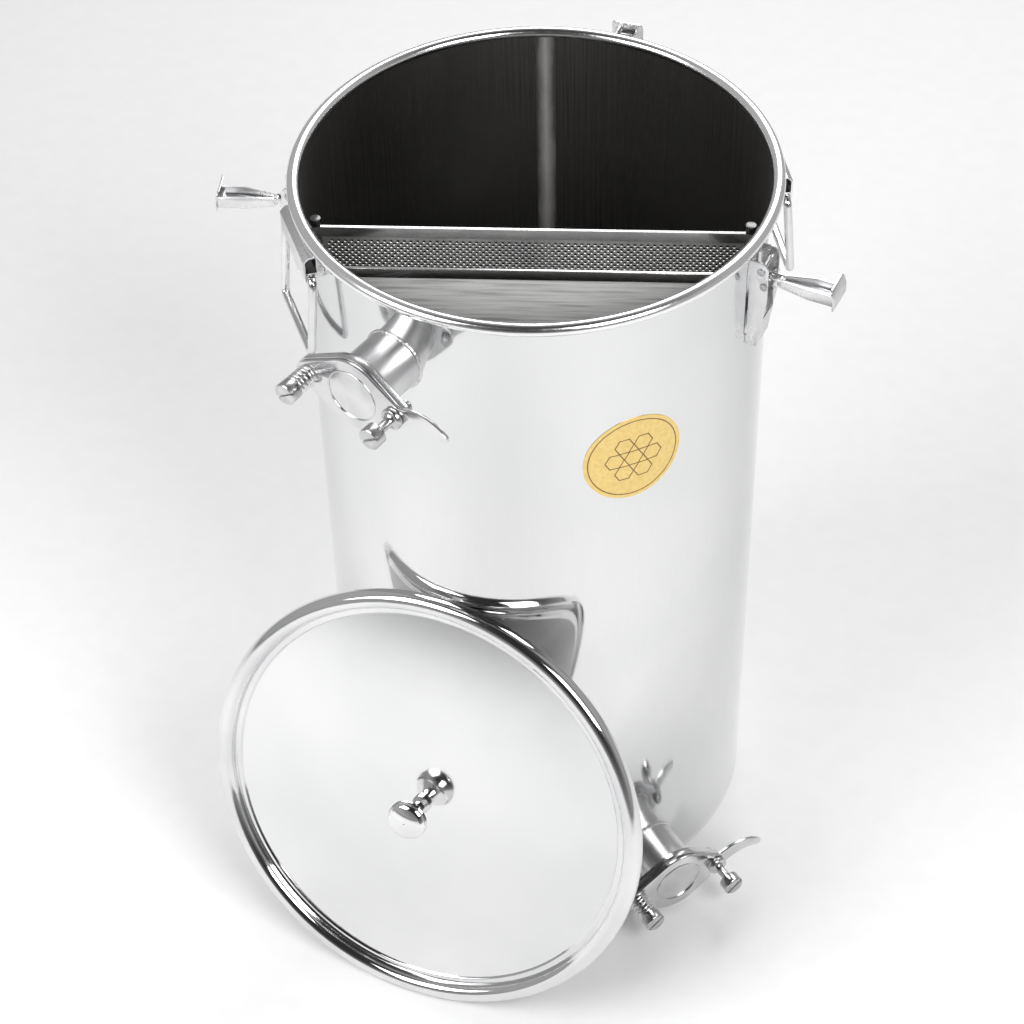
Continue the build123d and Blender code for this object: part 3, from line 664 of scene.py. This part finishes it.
def lathe(outline: Sequence[Vector], steps: int = ROUND_STEPS) -> bmesh.types.BMesh:
    """Solid turned about local Z from a closed outline of radii and heights.

    Args:
        outline: The outline's points.
        steps: Number of sections around it.

    Returns:
        The shape, in the units of the outline.
    """
    shape = bmesh.new()
    corners = [shape.verts.new((point.x, 0.0, point.y)) for point in outline]
    for number, corner in enumerate(corners):
        shape.edges.new((corners[number - 1], corner))
    bmesh.ops.spin(
        shape,
        geom=shape.verts[:] + shape.edges[:],
        cent=(0.0, 0.0, 0.0),
        axis=(0.0, 0.0, 1.0),
        angle=FULL_TURN,
        steps=steps,
        use_merge=True,
    )
    bmesh.ops.remove_doubles(shape, verts=shape.verts, dist=SAME_POINT)
    bmesh.ops.recalc_face_normals(shape, faces=shape.faces)
    return shape


def ring(radius: float, section: float, steps: int = 72, sides: int = 10) -> bmesh.types.BMesh:
    """Round ring about local Z, with its middle line's radius, its section's radius and its divisions."""
    return lathe(oval(Vector((radius, 0.0)), section, section, sides), steps)


@dataclass(frozen=True)
class Lamp:
    """Soft square lamp: its place and side in metres, and its power in watts."""

    name: str
    place: Place
    side: float
    power: float


@dataclass
class Studio:
    """Pale floor, bright room with a dark card above the front, and the camera of the photograph."""

    floor_size: float = 14.0
    floor_tones: tuple[Colour, Colour] = (grey(0.93), grey(0.95))
    floor_grain: float = 40.0
    floor_roughness: float = 0.8
    card_direction: Place = (0.05, -0.62, 0.78)
    sky_tones: tuple[Range, Range] = ((0.35, 0.42), (0.9, 0.03))
    lamps: tuple[Lamp, ...] = (
        Lamp("key_light", (1.5, -1.9, 2.5), side=1.5, power=62.0),
        Lamp("fill_light", (-1.9, -1.3, 2.2), side=1.6, power=50.0),
        Lamp("back_light", (0.5, 2.2, 2.4), side=1.6, power=34.0),
    )
    lamp_aim: Place = (0.0, 0.0, 0.35)
    camera_place: Place = (87.2, -1636.7, 1944.6)
    yaw: float = -0.0692
    pitch: float = 0.782
    roll: float = -0.027
    lens: float = 89.76
    sensor: float = 36.0
    view_depth: float = 60.0

    def build(self) -> None:
        """Makes the floor, the lights and the camera."""
        self.add_floor()
        self.add_sky()
        for lamp in self.lamps:
            self.add_lamp(lamp)
        self.add_camera()
        bpy.context.scene.view_settings.view_transform = "Standard"

    def add_floor(self) -> None:
        """Makes the wide pale floor."""
        shape = bmesh.new()
        bmesh.ops.create_grid(shape, x_segments=2, y_segments=2, size=self.floor_size / 2.0)
        mesh = bpy.data.meshes.new("floor")
        shape.to_mesh(mesh)
        shape.free()
        graph = Graph("pale_floor")
        grain = graph.spread(graph.noise(graph.object_place, self.floor_grain), NOISE_RANGE)
        tint = graph.blend(grain, *self.floor_tones)
        graph.set(graph.shader, Base_Color=tint, Roughness=self.floor_roughness)
        mesh.materials.append(graph.material)
        floor = bpy.data.objects.new("floor", mesh)
        bpy.context.scene.collection.objects.link(floor)

    def add_sky(self) -> None:
        """Makes the surroundings: a bright room that darkens towards the card above the front."""
        world = bpy.data.worlds.new("studio_room")
        world.use_nodes = True
        nodes, links = world.node_tree.nodes, world.node_tree.links
        direction = nodes.new("ShaderNodeTexCoord").outputs["Generated"]
        nearness = nodes.new("ShaderNodeVectorMath")
        nearness.operation = "DOT_PRODUCT"
        links.new(direction, nearness.inputs[0])
        nearness.inputs[1].default_value = self.card_direction
        ramp = nodes.new("ShaderNodeValToRGB")
        ramp.color_ramp.interpolation = "EASE"
        for element, (place, tone) in zip(ramp.color_ramp.elements, self.sky_tones):
            element.position = place
            element.color = (*grey(tone), 1.0)
        links.new(nearness.outputs["Value"], ramp.inputs["Fac"])
        links.new(ramp.outputs["Color"], nodes["Background"].inputs["Color"])
        bpy.context.scene.world = world

    def add_lamp(self, lamp: Lamp) -> None:
        """Makes a lamp that points at the can.

        Args:
            lamp: Its name, place, side and power.
        """
        light = bpy.data.lights.new(lamp.name, "AREA")
        light.energy = lamp.power
        light.size = lamp.side
        holder = bpy.data.objects.new(lamp.name, light)
        aim = Vector(self.lamp_aim) - Vector(lamp.place)
        turn = aim.to_track_quat("-Z", "Y").to_matrix().to_4x4()
        holder.matrix_world = Matrix.Translation(lamp.place) @ turn
        bpy.context.scene.collection.objects.link(holder)

    def add_camera(self) -> None:
        """Makes the camera that was fitted to the photograph."""
        lens = bpy.data.cameras.new("photo_camera")
        lens.lens = self.lens
        lens.sensor_fit = "HORIZONTAL"
        lens.sensor_width = self.sensor
        lens.clip_end = self.view_depth
        forward = Vector(
            (
                math.sin(self.yaw) * math.cos(self.pitch),
                math.cos(self.yaw) * math.cos(self.pitch),
                -math.sin(self.pitch),
            )
        )
        level = Vector((math.cos(self.yaw), -math.sin(self.yaw), 0.0))
        rise = level.cross(forward)
        right = math.cos(self.roll) * level + math.sin(self.roll) * rise
        up = math.cos(self.roll) * rise - math.sin(self.roll) * level
        matrix = Matrix((right, up, -forward)).transposed().to_4x4()
        matrix.translation = Vector(self.camera_place) * MM
        camera = bpy.data.objects.new("photo_camera", lens)
        camera.matrix_world = matrix
        bpy.context.scene.collection.objects.link(camera)
        bpy.context.scene.camera = camera


class Part(Protocol):
    """Sub-assembly of the can."""

    def build(self) -> None:
        """Makes and dresses its pieces."""


@dataclass
class Can:
    """Wall, rim, bottom, weld seam and label of the can."""

    bottom_edge: float = 0.5
    rim_section: float = 5.2
    rim_cover: Range = (0.2, 0.03)
    rim_sides: int = 64
    seam_azimuth: float = 180.0
    seam_width: float = 17.0
    seam_rise: float = 0.3
    seam_clearance: float = 0.02
    seam_sheet: float = 0.1
    seam_bottom: float = 11.0
    seam_grid: tuple[int, int] = (6, 40)
    ripple_share: float = 0.15
    ripple_rate: float = 0.9
    label_azimuth: float = 26.0
    label_height: float = 549.5
    label_radius: float = 42.5
    label_back: float = 0.06
    label_sheet: float = 0.3
    label_grid: int = 40
    label_crease: float = 50.0
    border_inset: float = 3.4
    border_sides: int = 96
    cell_size: float = 8.6
    cell_gap: float = 1.5
    cell_sides: int = 6
    line_width: float = 0.9
    ink_rise: float = 0.08

    def build(self) -> None:
        """Dresses the wall and the bottom and adds the rim, the seam and the label."""
        dress("can_shell", Finish.WALL)
        ease_edges("can_bottom", Finish.SHEET, "can", self.bottom_edge)
        self.add_rim()
        self.add_seam()
        place = facing(self.label_azimuth, self.label_height)
        self.add_foil(place)
        self.add_print(place)

    def add_rim(self) -> None:
        """Adds the smooth surface of the rolled rim, a little outside the solid's facets."""
        across, up = (self.rim_section + cover for cover in self.rim_cover)
        middle = Vector((CAN_INSIDE + self.rim_section, CAN_HEIGHT - self.rim_section))
        shape = lathe(oval(middle, across, up, self.rim_sides))
        add_piece("can_rim", shape, Finish.RIM, "can", place=Matrix.Scale(MM, 4))

    def add_seam(self) -> None:
        """Adds the flattened weld down the back of the wall, inside."""
        shape = bmesh.new()
        columns, rows = self.seam_grid
        bmesh.ops.create_grid(shape, x_segments=columns, y_segments=rows, size=0.5)
        length = BORE_TOP - self.seam_bottom
        bmesh.ops.scale(shape, vec=(self.seam_width, length, 1.0), verts=shape.verts)
        for vertex in shape.verts:
            edge = abs(vertex.co.x) / (self.seam_width / 2.0)
            wave = math.sin(vertex.co.y * self.ripple_rate)
            ripple = 1.0 - self.ripple_share + self.ripple_share * wave
            vertex.co.z = -self.seam_clearance - self.seam_rise * (1.0 - edge * edge) * ripple
        self.wrap(shape, CAN_INSIDE)
        bmesh.ops.recalc_face_normals(shape, faces=shape.faces)
        bmesh.ops.solidify(shape, geom=shape.faces, thickness=self.seam_sheet)
        place = facing(self.seam_azimuth, (self.seam_bottom + BORE_TOP) / 2.0)
        add_piece("can_seam", shape, Finish.SEAM, "can", place=place)

    @staticmethod
    def wrap(shape: bmesh.types.BMesh, radius: float) -> None:
        """Bends a flat shape round the can's axis, its local Z becoming the rise from the wall.

        Args:
            shape: The shape, in millimetres.
            radius: Radius of the wall that it lies on.
        """
        for vertex in shape.verts:
            turn = vertex.co.x / radius
            reach = radius + vertex.co.z
            vertex.co = (reach * math.sin(turn), vertex.co.y, reach * math.cos(turn))

    @staticmethod
    def raise_faces(shape: bmesh.types.BMesh, faces: list[bmesh.types.BMFace], rise: float) -> None:
        """Gives flat faces a thickness along local Z.

        Args:
            shape: The shape that holds them.
            faces: The faces.
            rise: The thickness.
        """
        raised = bmesh.ops.extrude_face_region(shape, geom=faces)["geom"]
        tops = [item for item in raised if isinstance(item, bmesh.types.BMVert)]
        bmesh.ops.translate(shape, vec=(0.0, 0.0, rise), verts=tops)

    def add_foil(self, place: Matrix) -> None:
        """Adds the gold disc of the label.

        Args:
            place: The matrix that puts the label on the wall.
        """
        disc = bmesh.new()
        divisions = self.label_grid
        bmesh.ops.create_grid(disc, x_segments=divisions, y_segments=divisions, size=self.label_radius)
        for vertex in disc.verts:
            flat = vertex.co.to_2d()
            if flat.length:
                flat *= max(abs(flat.x), abs(flat.y)) / flat.length
            vertex.co = (flat.x, flat.y, self.label_back)
        bmesh.ops.recalc_face_normals(disc, faces=disc.faces)
        self.raise_faces(disc, disc.faces[:], self.label_sheet)
        bmesh.ops.recalc_face_normals(disc, faces=disc.faces)
        self.wrap(disc, CAN_RADIUS)
        replaced = ("label_disc",)
        add_piece(
            "label_foil", disc, Finish.FOIL, "can", replaced, place, crease=self.label_crease
        )

    def add_print(self, place: Matrix) -> None:
        """Adds the label's border line and its honeycomb of a middle cell and a ring of cells.

        Args:
            place: The matrix that puts the label on the wall.
        """
        lines = bmesh.new()
        self.add_line(lines, Vector((0.0, 0.0)), self.label_radius - self.border_inset, self.border_sides)
        step = self.cell_size * math.sqrt(3.0) + self.cell_gap
        turns = [FULL_TURN * number / self.cell_sides for number in range(self.cell_sides)]
        ring_middles = [step * Vector((math.cos(turn), math.sin(turn))) for turn in turns]
        for middle in (Vector((0.0, 0.0)), *ring_middles):
            self.add_line(lines, middle, self.cell_size, self.cell_sides, turned=0.5)
        bmesh.ops.recalc_face_normals(lines, faces=lines.faces)
        self.wrap(lines, CAN_RADIUS)
        add_piece(
            "label_print", lines, Finish.INK, "can", place=place, crease=self.label_crease
        )

    def add_line(
        self, lines: bmesh.types.BMesh, middle: Vector, radius: float, sides: int, turned: float = 0.0
    ) -> None:
        """Adds one closed outline of the print.

        Args:
            lines: The shape that takes it.
            middle: Its middle, along the wall and up.
            radius: Radius to its corners.
            sides: Number of its corners.
            turned: Its turn, in steps of one side.
        """
        inner_radius = radius - self.line_width / math.cos(math.pi / sides)
        outer, inner = (
            bmesh.ops.create_circle(lines, cap_ends=False, segments=sides, radius=size)["verts"]
            for size in (radius, inner_radius)
        )
        both = outer + inner
        spin = Matrix.Rotation(turned * FULL_TURN / sides, 3, "Z")
        bmesh.ops.rotate(lines, cent=(0.0, 0.0, 0.0), matrix=spin, verts=both)
        height = self.label_back + self.label_sheet
        bmesh.ops.translate(lines, vec=(middle.x, middle.y, height), verts=both)
        edges = list({edge for vertex in both for edge in vertex.link_edges})
        flat = bmesh.ops.bridge_loops(lines, edges=edges)["faces"]
        self.raise_faces(lines, flat, self.ink_rise)


@dataclass
class Outlet:
    """Stub pipe with its gate, spring, screws and welds."""

    name: str
    azimuth: float
    height: float
    pipe_radius: float = 25.4
    flange_back: float = 230.5
    flange_edge: float = 0.5
    gate_front: float = 241.3
    gate_edge: float = 0.4
    gate_ring_radius: float = 22.5
    gate_ring_section: float = 0.7
    screw_edge: float = 0.3
    weld_section: float = 1.1
    weld_rise: float = 0.5
    weld_ripples: int = 44
    ripple_steps: int = 4
    ripple_swell: float = 0.14
    collar_section: float = 1.1
    collar_offset: float = 0.4
    collar_steps: int = 96
    collar_sides: int = 8
    pivot_offset: float = -43.0
    spring_start: float = 242.6
    spring_end: float = 259.0
    spring_radius: float = 8.2
    wire: float = 2.0
    wire_sides: int = 12
    wire_same_point: float = 1e-3
    turn_steps: int = 32
    open_turns: float = 3.0
    close_turns: float = 0.75
    close_pitch: float = 1.05

    def build(self) -> None:
        """Dresses the outlet's pieces and adds its welds, spring and ring."""
        gate, clamp = f"{self.name}_gate", f"{self.name}_clamp"
        dress(f"{self.name}_outlet_pipe", Finish.PIPE)
        dress(f"{self.name}_gate_seal", Finish.RUBBER)
        ease_edges(f"{self.name}_gate_flange", Finish.CAST, "can", self.flange_edge)
        ease_edges(f"{self.name}_gate", Finish.CAST, gate, self.gate_edge)
        ease_edges(f"{self.name}_pivot_screw", Finish.TURNED, "can", self.screw_edge)
        ease_edges(f"{self.name}_clamp_screw", Finish.TURNED, clamp, self.screw_edge)
        self.add_welds()
        self.add_spring()
        shape = ring(self.gate_ring_radius, self.gate_ring_section)
        place = self.place(out=self.gate_front)
        add_piece(f"{self.name}_gate_ring", shape, Finish.CAST, gate, place=place)

    def place(self, along: float = 0.0, out: float = 0.0) -> Matrix:
        """Where a shape lies that is drawn about the pipe's axis, moved along the wall or outwards."""
        return facing(self.azimuth, self.height) @ Matrix.Translation((along, 0.0, out))

    def add_welds(self) -> None:
        """Adds the rippled weld where the pipe meets the wall, and the plain one at the flange."""
        middle_radius = self.pipe_radius + self.weld_section / 2.0
        bead = ring(middle_radius, self.weld_section, self.ripple_steps * self.weld_ripples)
        for vertex in bead.verts:
            turn = math.atan2(vertex.co.y, vertex.co.x)
            middle = Vector((math.cos(turn), math.sin(turn), 0.0)) * middle_radius
            swell = 1.0 + self.ripple_swell * math.sin(turn * self.weld_ripples)
            vertex.co = middle + (vertex.co - middle) * swell
            vertex.co.z += math.sqrt(CAN_RADIUS**2 - vertex.co.x**2) + self.weld_rise
        name = f"{self.name}_pipe_weld"
        add_piece(name, bead, Finish.WELD, "can", place=self.place())
        collar_radius = self.pipe_radius + self.collar_offset
        collar = ring(collar_radius, self.collar_section, self.collar_steps, self.collar_sides)
        place = self.place(out=self.flange_back - self.collar_offset)
        add_piece(f"{self.name}_flange_weld", collar, Finish.WELD, "can", place=place)

    def add_spring(self) -> None:
        """Adds the coil round the pivot, with its end turns wound close."""
        shape = bmesh.new()
        made = bmesh.ops.create_circle(
            shape, cap_ends=True, segments=self.wire_sides, radius=self.wire / 2.0
        )
        upright = Matrix.Rotation(math.radians(90.0), 4, "X")
        start = Matrix.Translation((self.spring_radius, 0.0, self.spring_start)) @ upright
        bmesh.ops.transform(shape, matrix=start, verts=made["verts"])
        end = shape.faces[:]
        close_rise = self.close_turns * self.wire * self.close_pitch
        open_rise = self.spring_end - self.spring_start - 2.0 * close_rise
        close = (self.close_turns, close_rise)
        for turns, rise in (close, (self.open_turns, open_rise), close):
            steps = round(self.turn_steps * turns)
            done = bmesh.ops.spin(
                shape,
                geom=end,
                cent=(0.0, 0.0, 0.0),
                axis=(0.0, 0.0, 1.0),
                dvec=(0.0, 0.0, rise / steps),
                angle=FULL_TURN * turns,
                steps=steps,
            )
            end = [item for item in done["geom_last"] if isinstance(item, bmesh.types.BMFace)]
        bmesh.ops.remove_doubles(shape, verts=shape.verts, dist=self.wire_same_point)
        bmesh.ops.recalc_face_normals(shape, faces=shape.faces)
        node = f"{self.name}_pivot_spring"
        place = self.place(along=self.pivot_offset)
        add_piece(f"{node}_coil", shape, Finish.WIRE, "can", (node,), place)


@dataclass
class Latch:
    """Toggle latch with its base, rivets, lever, pin and hook."""

    name: str
    sheet_edge: float = 0.3
    rivet_edge: float = 0.35
    pin_edge: float = 0.2

    def build(self) -> None:
        """Eases the edges of the latch's pieces and dresses them."""
        node = f"latch_{self.name}"
        lever, hook = f"{node}_lever", f"{node}_hook"
        ease_edges(f"{node}_base", Finish.PRESSED, "can", self.sheet_edge)
        ease_edges(f"{node}_rivets", Finish.TURNED, "can", self.rivet_edge)
        ease_edges(lever, Finish.PRESSED, lever, self.sheet_edge)
        ease_edges(f"{node}_hook_pin", Finish.TURNED, lever, self.pin_edge)
        ease_edges(hook, Finish.PRESSED, hook, self.sheet_edge)


@dataclass
class Handle:
    """Drop handle with its folded strap and rod bail."""

    name: str
    strap_edge: float = 0.3

    def build(self) -> None:
        """Eases the strap's edges and dresses both pieces."""
        node = f"handle_{self.name}"
        ease_edges(f"{node}_strap", Finish.PRESSED, "can", self.strap_edge)
        dress(f"{node}_bail", Finish.ROD)


@dataclass
class Sieve:
    """Frame and guides of a lift-out sieve."""

    name: str
    frame_finish: Finish
    frame_edge: float = 0.5
    guide_edge: float = 0.3

    def build(self) -> None:
        """Eases the edges of the frame and the guides and dresses them."""
        ease_edges(f"{self.name}_frame", self.frame_finish, self.name, self.frame_edge)
        ease_edges(f"{self.name}_guides", Finish.SHADE, "can", self.guide_edge)


@dataclass
class CoarseSieve(Sieve):
    """Sieve of perforated sheet, with capped posts."""

    name: str = "coarse_sieve"
    frame_finish: Finish = Finish.CAPPED
    distance: float = 62.0
    opening: float = 166.2
    bottom: float = 10.8
    top: float = 681.0
    sheet: float = 1.0
    hole_pitch: float = 5.2
    hole_radius: float = 1.5
    inset_share: float = 0.8
    whole_share: float = 0.98
    crease: float = 60.0
    bands: int = 4

    def build(self) -> None:
        """Dresses the frame and guides and adds the sheet with its staggered holes, in a few bands."""
        super().build()
        node = f"{self.name}_sheet"
        place = facing(0.0, (self.bottom + self.top) / 2.0) @ Matrix.Translation((0.0, 0.0, self.distance))
        for band in range(self.bands):
            name = f"{node}_{band}"
            shape = self.punched(band)
            add_piece(name, shape, Finish.PUNCHED, self.name, (node,), place, self.crease)

    def cells(self, side: float) -> bmesh.types.BMesh:
        """Whole sheet as a flat grid of square cells that stand on their corners.

        Args:
            side: Side of a cell.

        Returns:
            The shape, in millimetres from its middle.
        """
        width = 2.0 * self.opening
        height = self.top - self.bottom
        count = math.ceil((width + height) / math.sqrt(2.0) / side)
        shape = bmesh.new()
        bmesh.ops.create_grid(shape, x_segments=count, y_segments=count, size=count * side / 2.0)
        on_corner = Matrix.Rotation(math.radians(45.0), 3, "Z")
        bmesh.ops.rotate(shape, cent=(0.0, 0.0, 0.0), matrix=on_corner, verts=shape.verts)
        for normal, reach in ((Vector((1.0, 0.0, 0.0)), width), (Vector((0.0, 1.0, 0.0)), height)):
            for outward in (normal, -normal):
                bmesh.ops.bisect_plane(
                    shape,
                    geom=shape.verts[:] + shape.edges[:] + shape.faces[:],
                    plane_co=outward * reach / 2.0,
                    plane_no=outward,
                    clear_outer=True,
                )
        return shape

    def punched(self, band: int) -> bmesh.types.BMesh:
        """One band of the sheet, with holes in rows that stand half a pitch apart.

        The bands part along the edges of the cells, so no hole is lost where they meet.

        Args:
            band: Its number, from the bottom.

        Returns:
            The shape, in millimetres from the middle of the whole sheet.
        """
        side = self.hole_pitch / math.sqrt(2.0)
        shape = self.cells(side)
        height = self.top - self.bottom
        start = height * (band / self.bands - 0.5)
        end = start + height / self.bands
        others = [face for face in shape.faces if not start <= face.calc_center_median().y < end]
        bmesh.ops.delete(shape, geom=others, context="FACES")
        least = self.whole_share * side * side
        whole = [face for face in shape.faces if len(face.verts) == 4 and face.calc_area() > least]
        inset = side / 2.0 - self.inset_share * self.hole_radius
        bmesh.ops.inset_individual(shape, faces=whole, thickness=inset)
        edges = [edge for face in whole for edge in face.edges]
        bmesh.ops.subdivide_edges(shape, edges=edges, cuts=1)
        for face in whole:
            middle = face.calc_center_median()
            for vertex in face.verts:
                vertex.co = middle + (vertex.co - middle).normalized() * self.hole_radius
        bmesh.ops.delete(shape, geom=whole, context="FACES_ONLY")
        bmesh.ops.recalc_face_normals(shape, faces=shape.faces)
        bmesh.ops.translate(shape, vec=(0.0, 0.0, self.sheet / 2.0), verts=shape.verts)
        bmesh.ops.solidify(shape, geom=shape.faces, thickness=self.sheet)
        return shape


@dataclass
class FineSieve(Sieve):
    """Sieve of fine wire cloth."""

    name: str = "fine_sieve"
    frame_finish: Finish = Finish.CAST

    def build(self) -> None:
        """Dresses the frame, the guides and the cloth."""
        super().build()
        dress(f"{self.name}_mesh", Finish.CLOTH)


@dataclass
class Lid:
    """Lid that leans against the can, with its knob."""

    azimuth: float = -21.4
    lean: float = 18.2
    rest_gap: float = 0.3
    radius: float = 203.3
    wall_radius: float = 187.0
    sheet: float = 1.2
    skirt: float = 9.0
    crown: float = 2.5
    crown_bend: float = 7.8
    foot_bend: float = 2.2
    panel_drop: float = 8.0
    panel_steps: int = 16
    dome: float = 6.0
    ledge_width: float = 5.0
    ledge_height: float = 1.5
    step_bend: float = 1.6
    edge_bend: float = 0.5
    # Share of the panel's sheet, from below, that takes the painted shade of the underside
    shaded_layer_share: float = 0.3
    hole_radius: float = 3.05
    washer_edge: float = 0.2
    nut_edge: float = 0.3

    def build(self) -> None:
        """Adds the shell and dresses the lid's other pieces."""
        # The panel's lower layer is the same sheet, tinted darker as painted shade
        border = 1.0 - self.shaded_layer_share
        for name, outline, finish in (
            ("lid_panel", self.panel_outline(0.0, border), Finish.LID),
            ("lid_shaded_underside", self.panel_outline(border, 1.0), Finish.LINING),
            ("lid_rim", self.rim_outline(), Finish.LID_RIM),
        ):
            add_piece(name, lathe(outline), finish, "lid", ("lid_shell",), self.place())
        dress("lid_gasket", Finish.RUBBER)
        dress("lid_knob", Finish.CHROME)
        ease_edges("lid_knob_washer", Finish.TURNED, "lid", self.washer_edge)
        ease_edges("lid_knob_nut", Finish.TURNED, "lid", self.nut_edge)

    def place(self) -> Matrix:
        """Where the lid's own axis and edge plane lie in the frame.

        Returns:
            The matrix from the lid's millimetres to metres.
        """
        lean = math.radians(self.lean)
        reach = self.radius * math.sin(lean) + self.skirt * math.cos(lean)
        rise = self.radius * math.cos(lean) + self.skirt * math.sin(lean)
        middle = Matrix.Translation((0.0, 0.0, CAN_RADIUS + self.rest_gap + reach))
        return facing(self.azimuth, self.rest_gap + rise) @ middle @ Matrix.Rotation(-lean, 4, "X")

    def ledge_place(self) -> tuple[float, float]:
        """Inner radius and height of the ledge round the panel."""
        return self.wall_radius - self.ledge_width, self.ledge_height - self.panel_drop

    def panel_edge(self) -> float:
        """Radius at which the panel meets the step up to the ledge."""
        return self.ledge_place()[0] - self.ledge_height

    def panel_outline(self, upper: float, lower: float) -> list[Vector]:
        """Section of one layer of the domed panel, from the knob's hole to the ledge.

        Args:
            upper: Depth of its upper face, as a share of the sheet.
            lower: Depth of its lower face, as a share of the sheet.

        Returns:
            The outline's points.
        """
        edge = self.panel_edge()
        width = edge - self.hole_radius
        steps = range(self.panel_steps + 1)
        stations = [self.hole_radius + width * step / self.panel_steps for step in steps]
        face = [Vector((s, self.dome * (1.0 - (s / edge) ** 2) - self.panel_drop)) for s in stations]
        upper_side = [point - Vector((0.0, upper * self.sheet)) for point in face]
        lower_side = [point - Vector((0.0, lower * self.sheet)) for point in reversed(face)]
        return upper_side + lower_side

    def rim_outline(self) -> list[Vector]:
        """Section of the rim: step, ledge, inner wall, round channel and skirt.

        Returns:
            The outline's points.
        """
        back = self.wall_radius + self.sheet
        ledge_inner, ledge = self.ledge_place()
        inside = self.crown_bend - self.sheet
        corners = [
            (self.panel_edge(), -self.panel_drop, 0.0),
            (ledge_inner, ledge, self.step_bend),
            (self.wall_radius, ledge, self.foot_bend - self.sheet),
            (self.wall_radius, self.crown, self.crown_bend),
            (self.radius, self.crown, self.crown_bend),
            (self.radius, -self.skirt, self.edge_bend),
            (self.radius - self.sheet, -self.skirt, self.edge_bend),
            (self.radius - self.sheet, self.crown - self.sheet, inside),
            (back, self.crown - self.sheet, inside),
            (back, ledge - self.sheet, self.foot_bend),
            (ledge_inner, ledge - self.sheet, self.step_bend),
            (self.panel_edge(), -self.panel_drop - self.sheet, 0.0),
        ]
        return rounded(corners)


def main() -> None:
    """Builds the studio and the can, piece by piece."""
    logging.basicConfig(level=logging.INFO, format="%(name)s: %(message)s")
    Studio().build()
    parts: list[Part] = [
        Can(),
        Outlet("upper", azimuth=-33.3, height=637.0),
        Outlet("lower", azimuth=33.3, height=39.3),
        *(Latch(side) for side in ("left", "right", "back")),
        *(Handle(side) for side in ("left", "right")),
        CoarseSieve(),
        FineSieve(),
        Lid(),
    ]
    for part in parts:
        LOG.info("building %s", type(part).__name__)
        part.build()


if __name__ == "__main__":
    main()
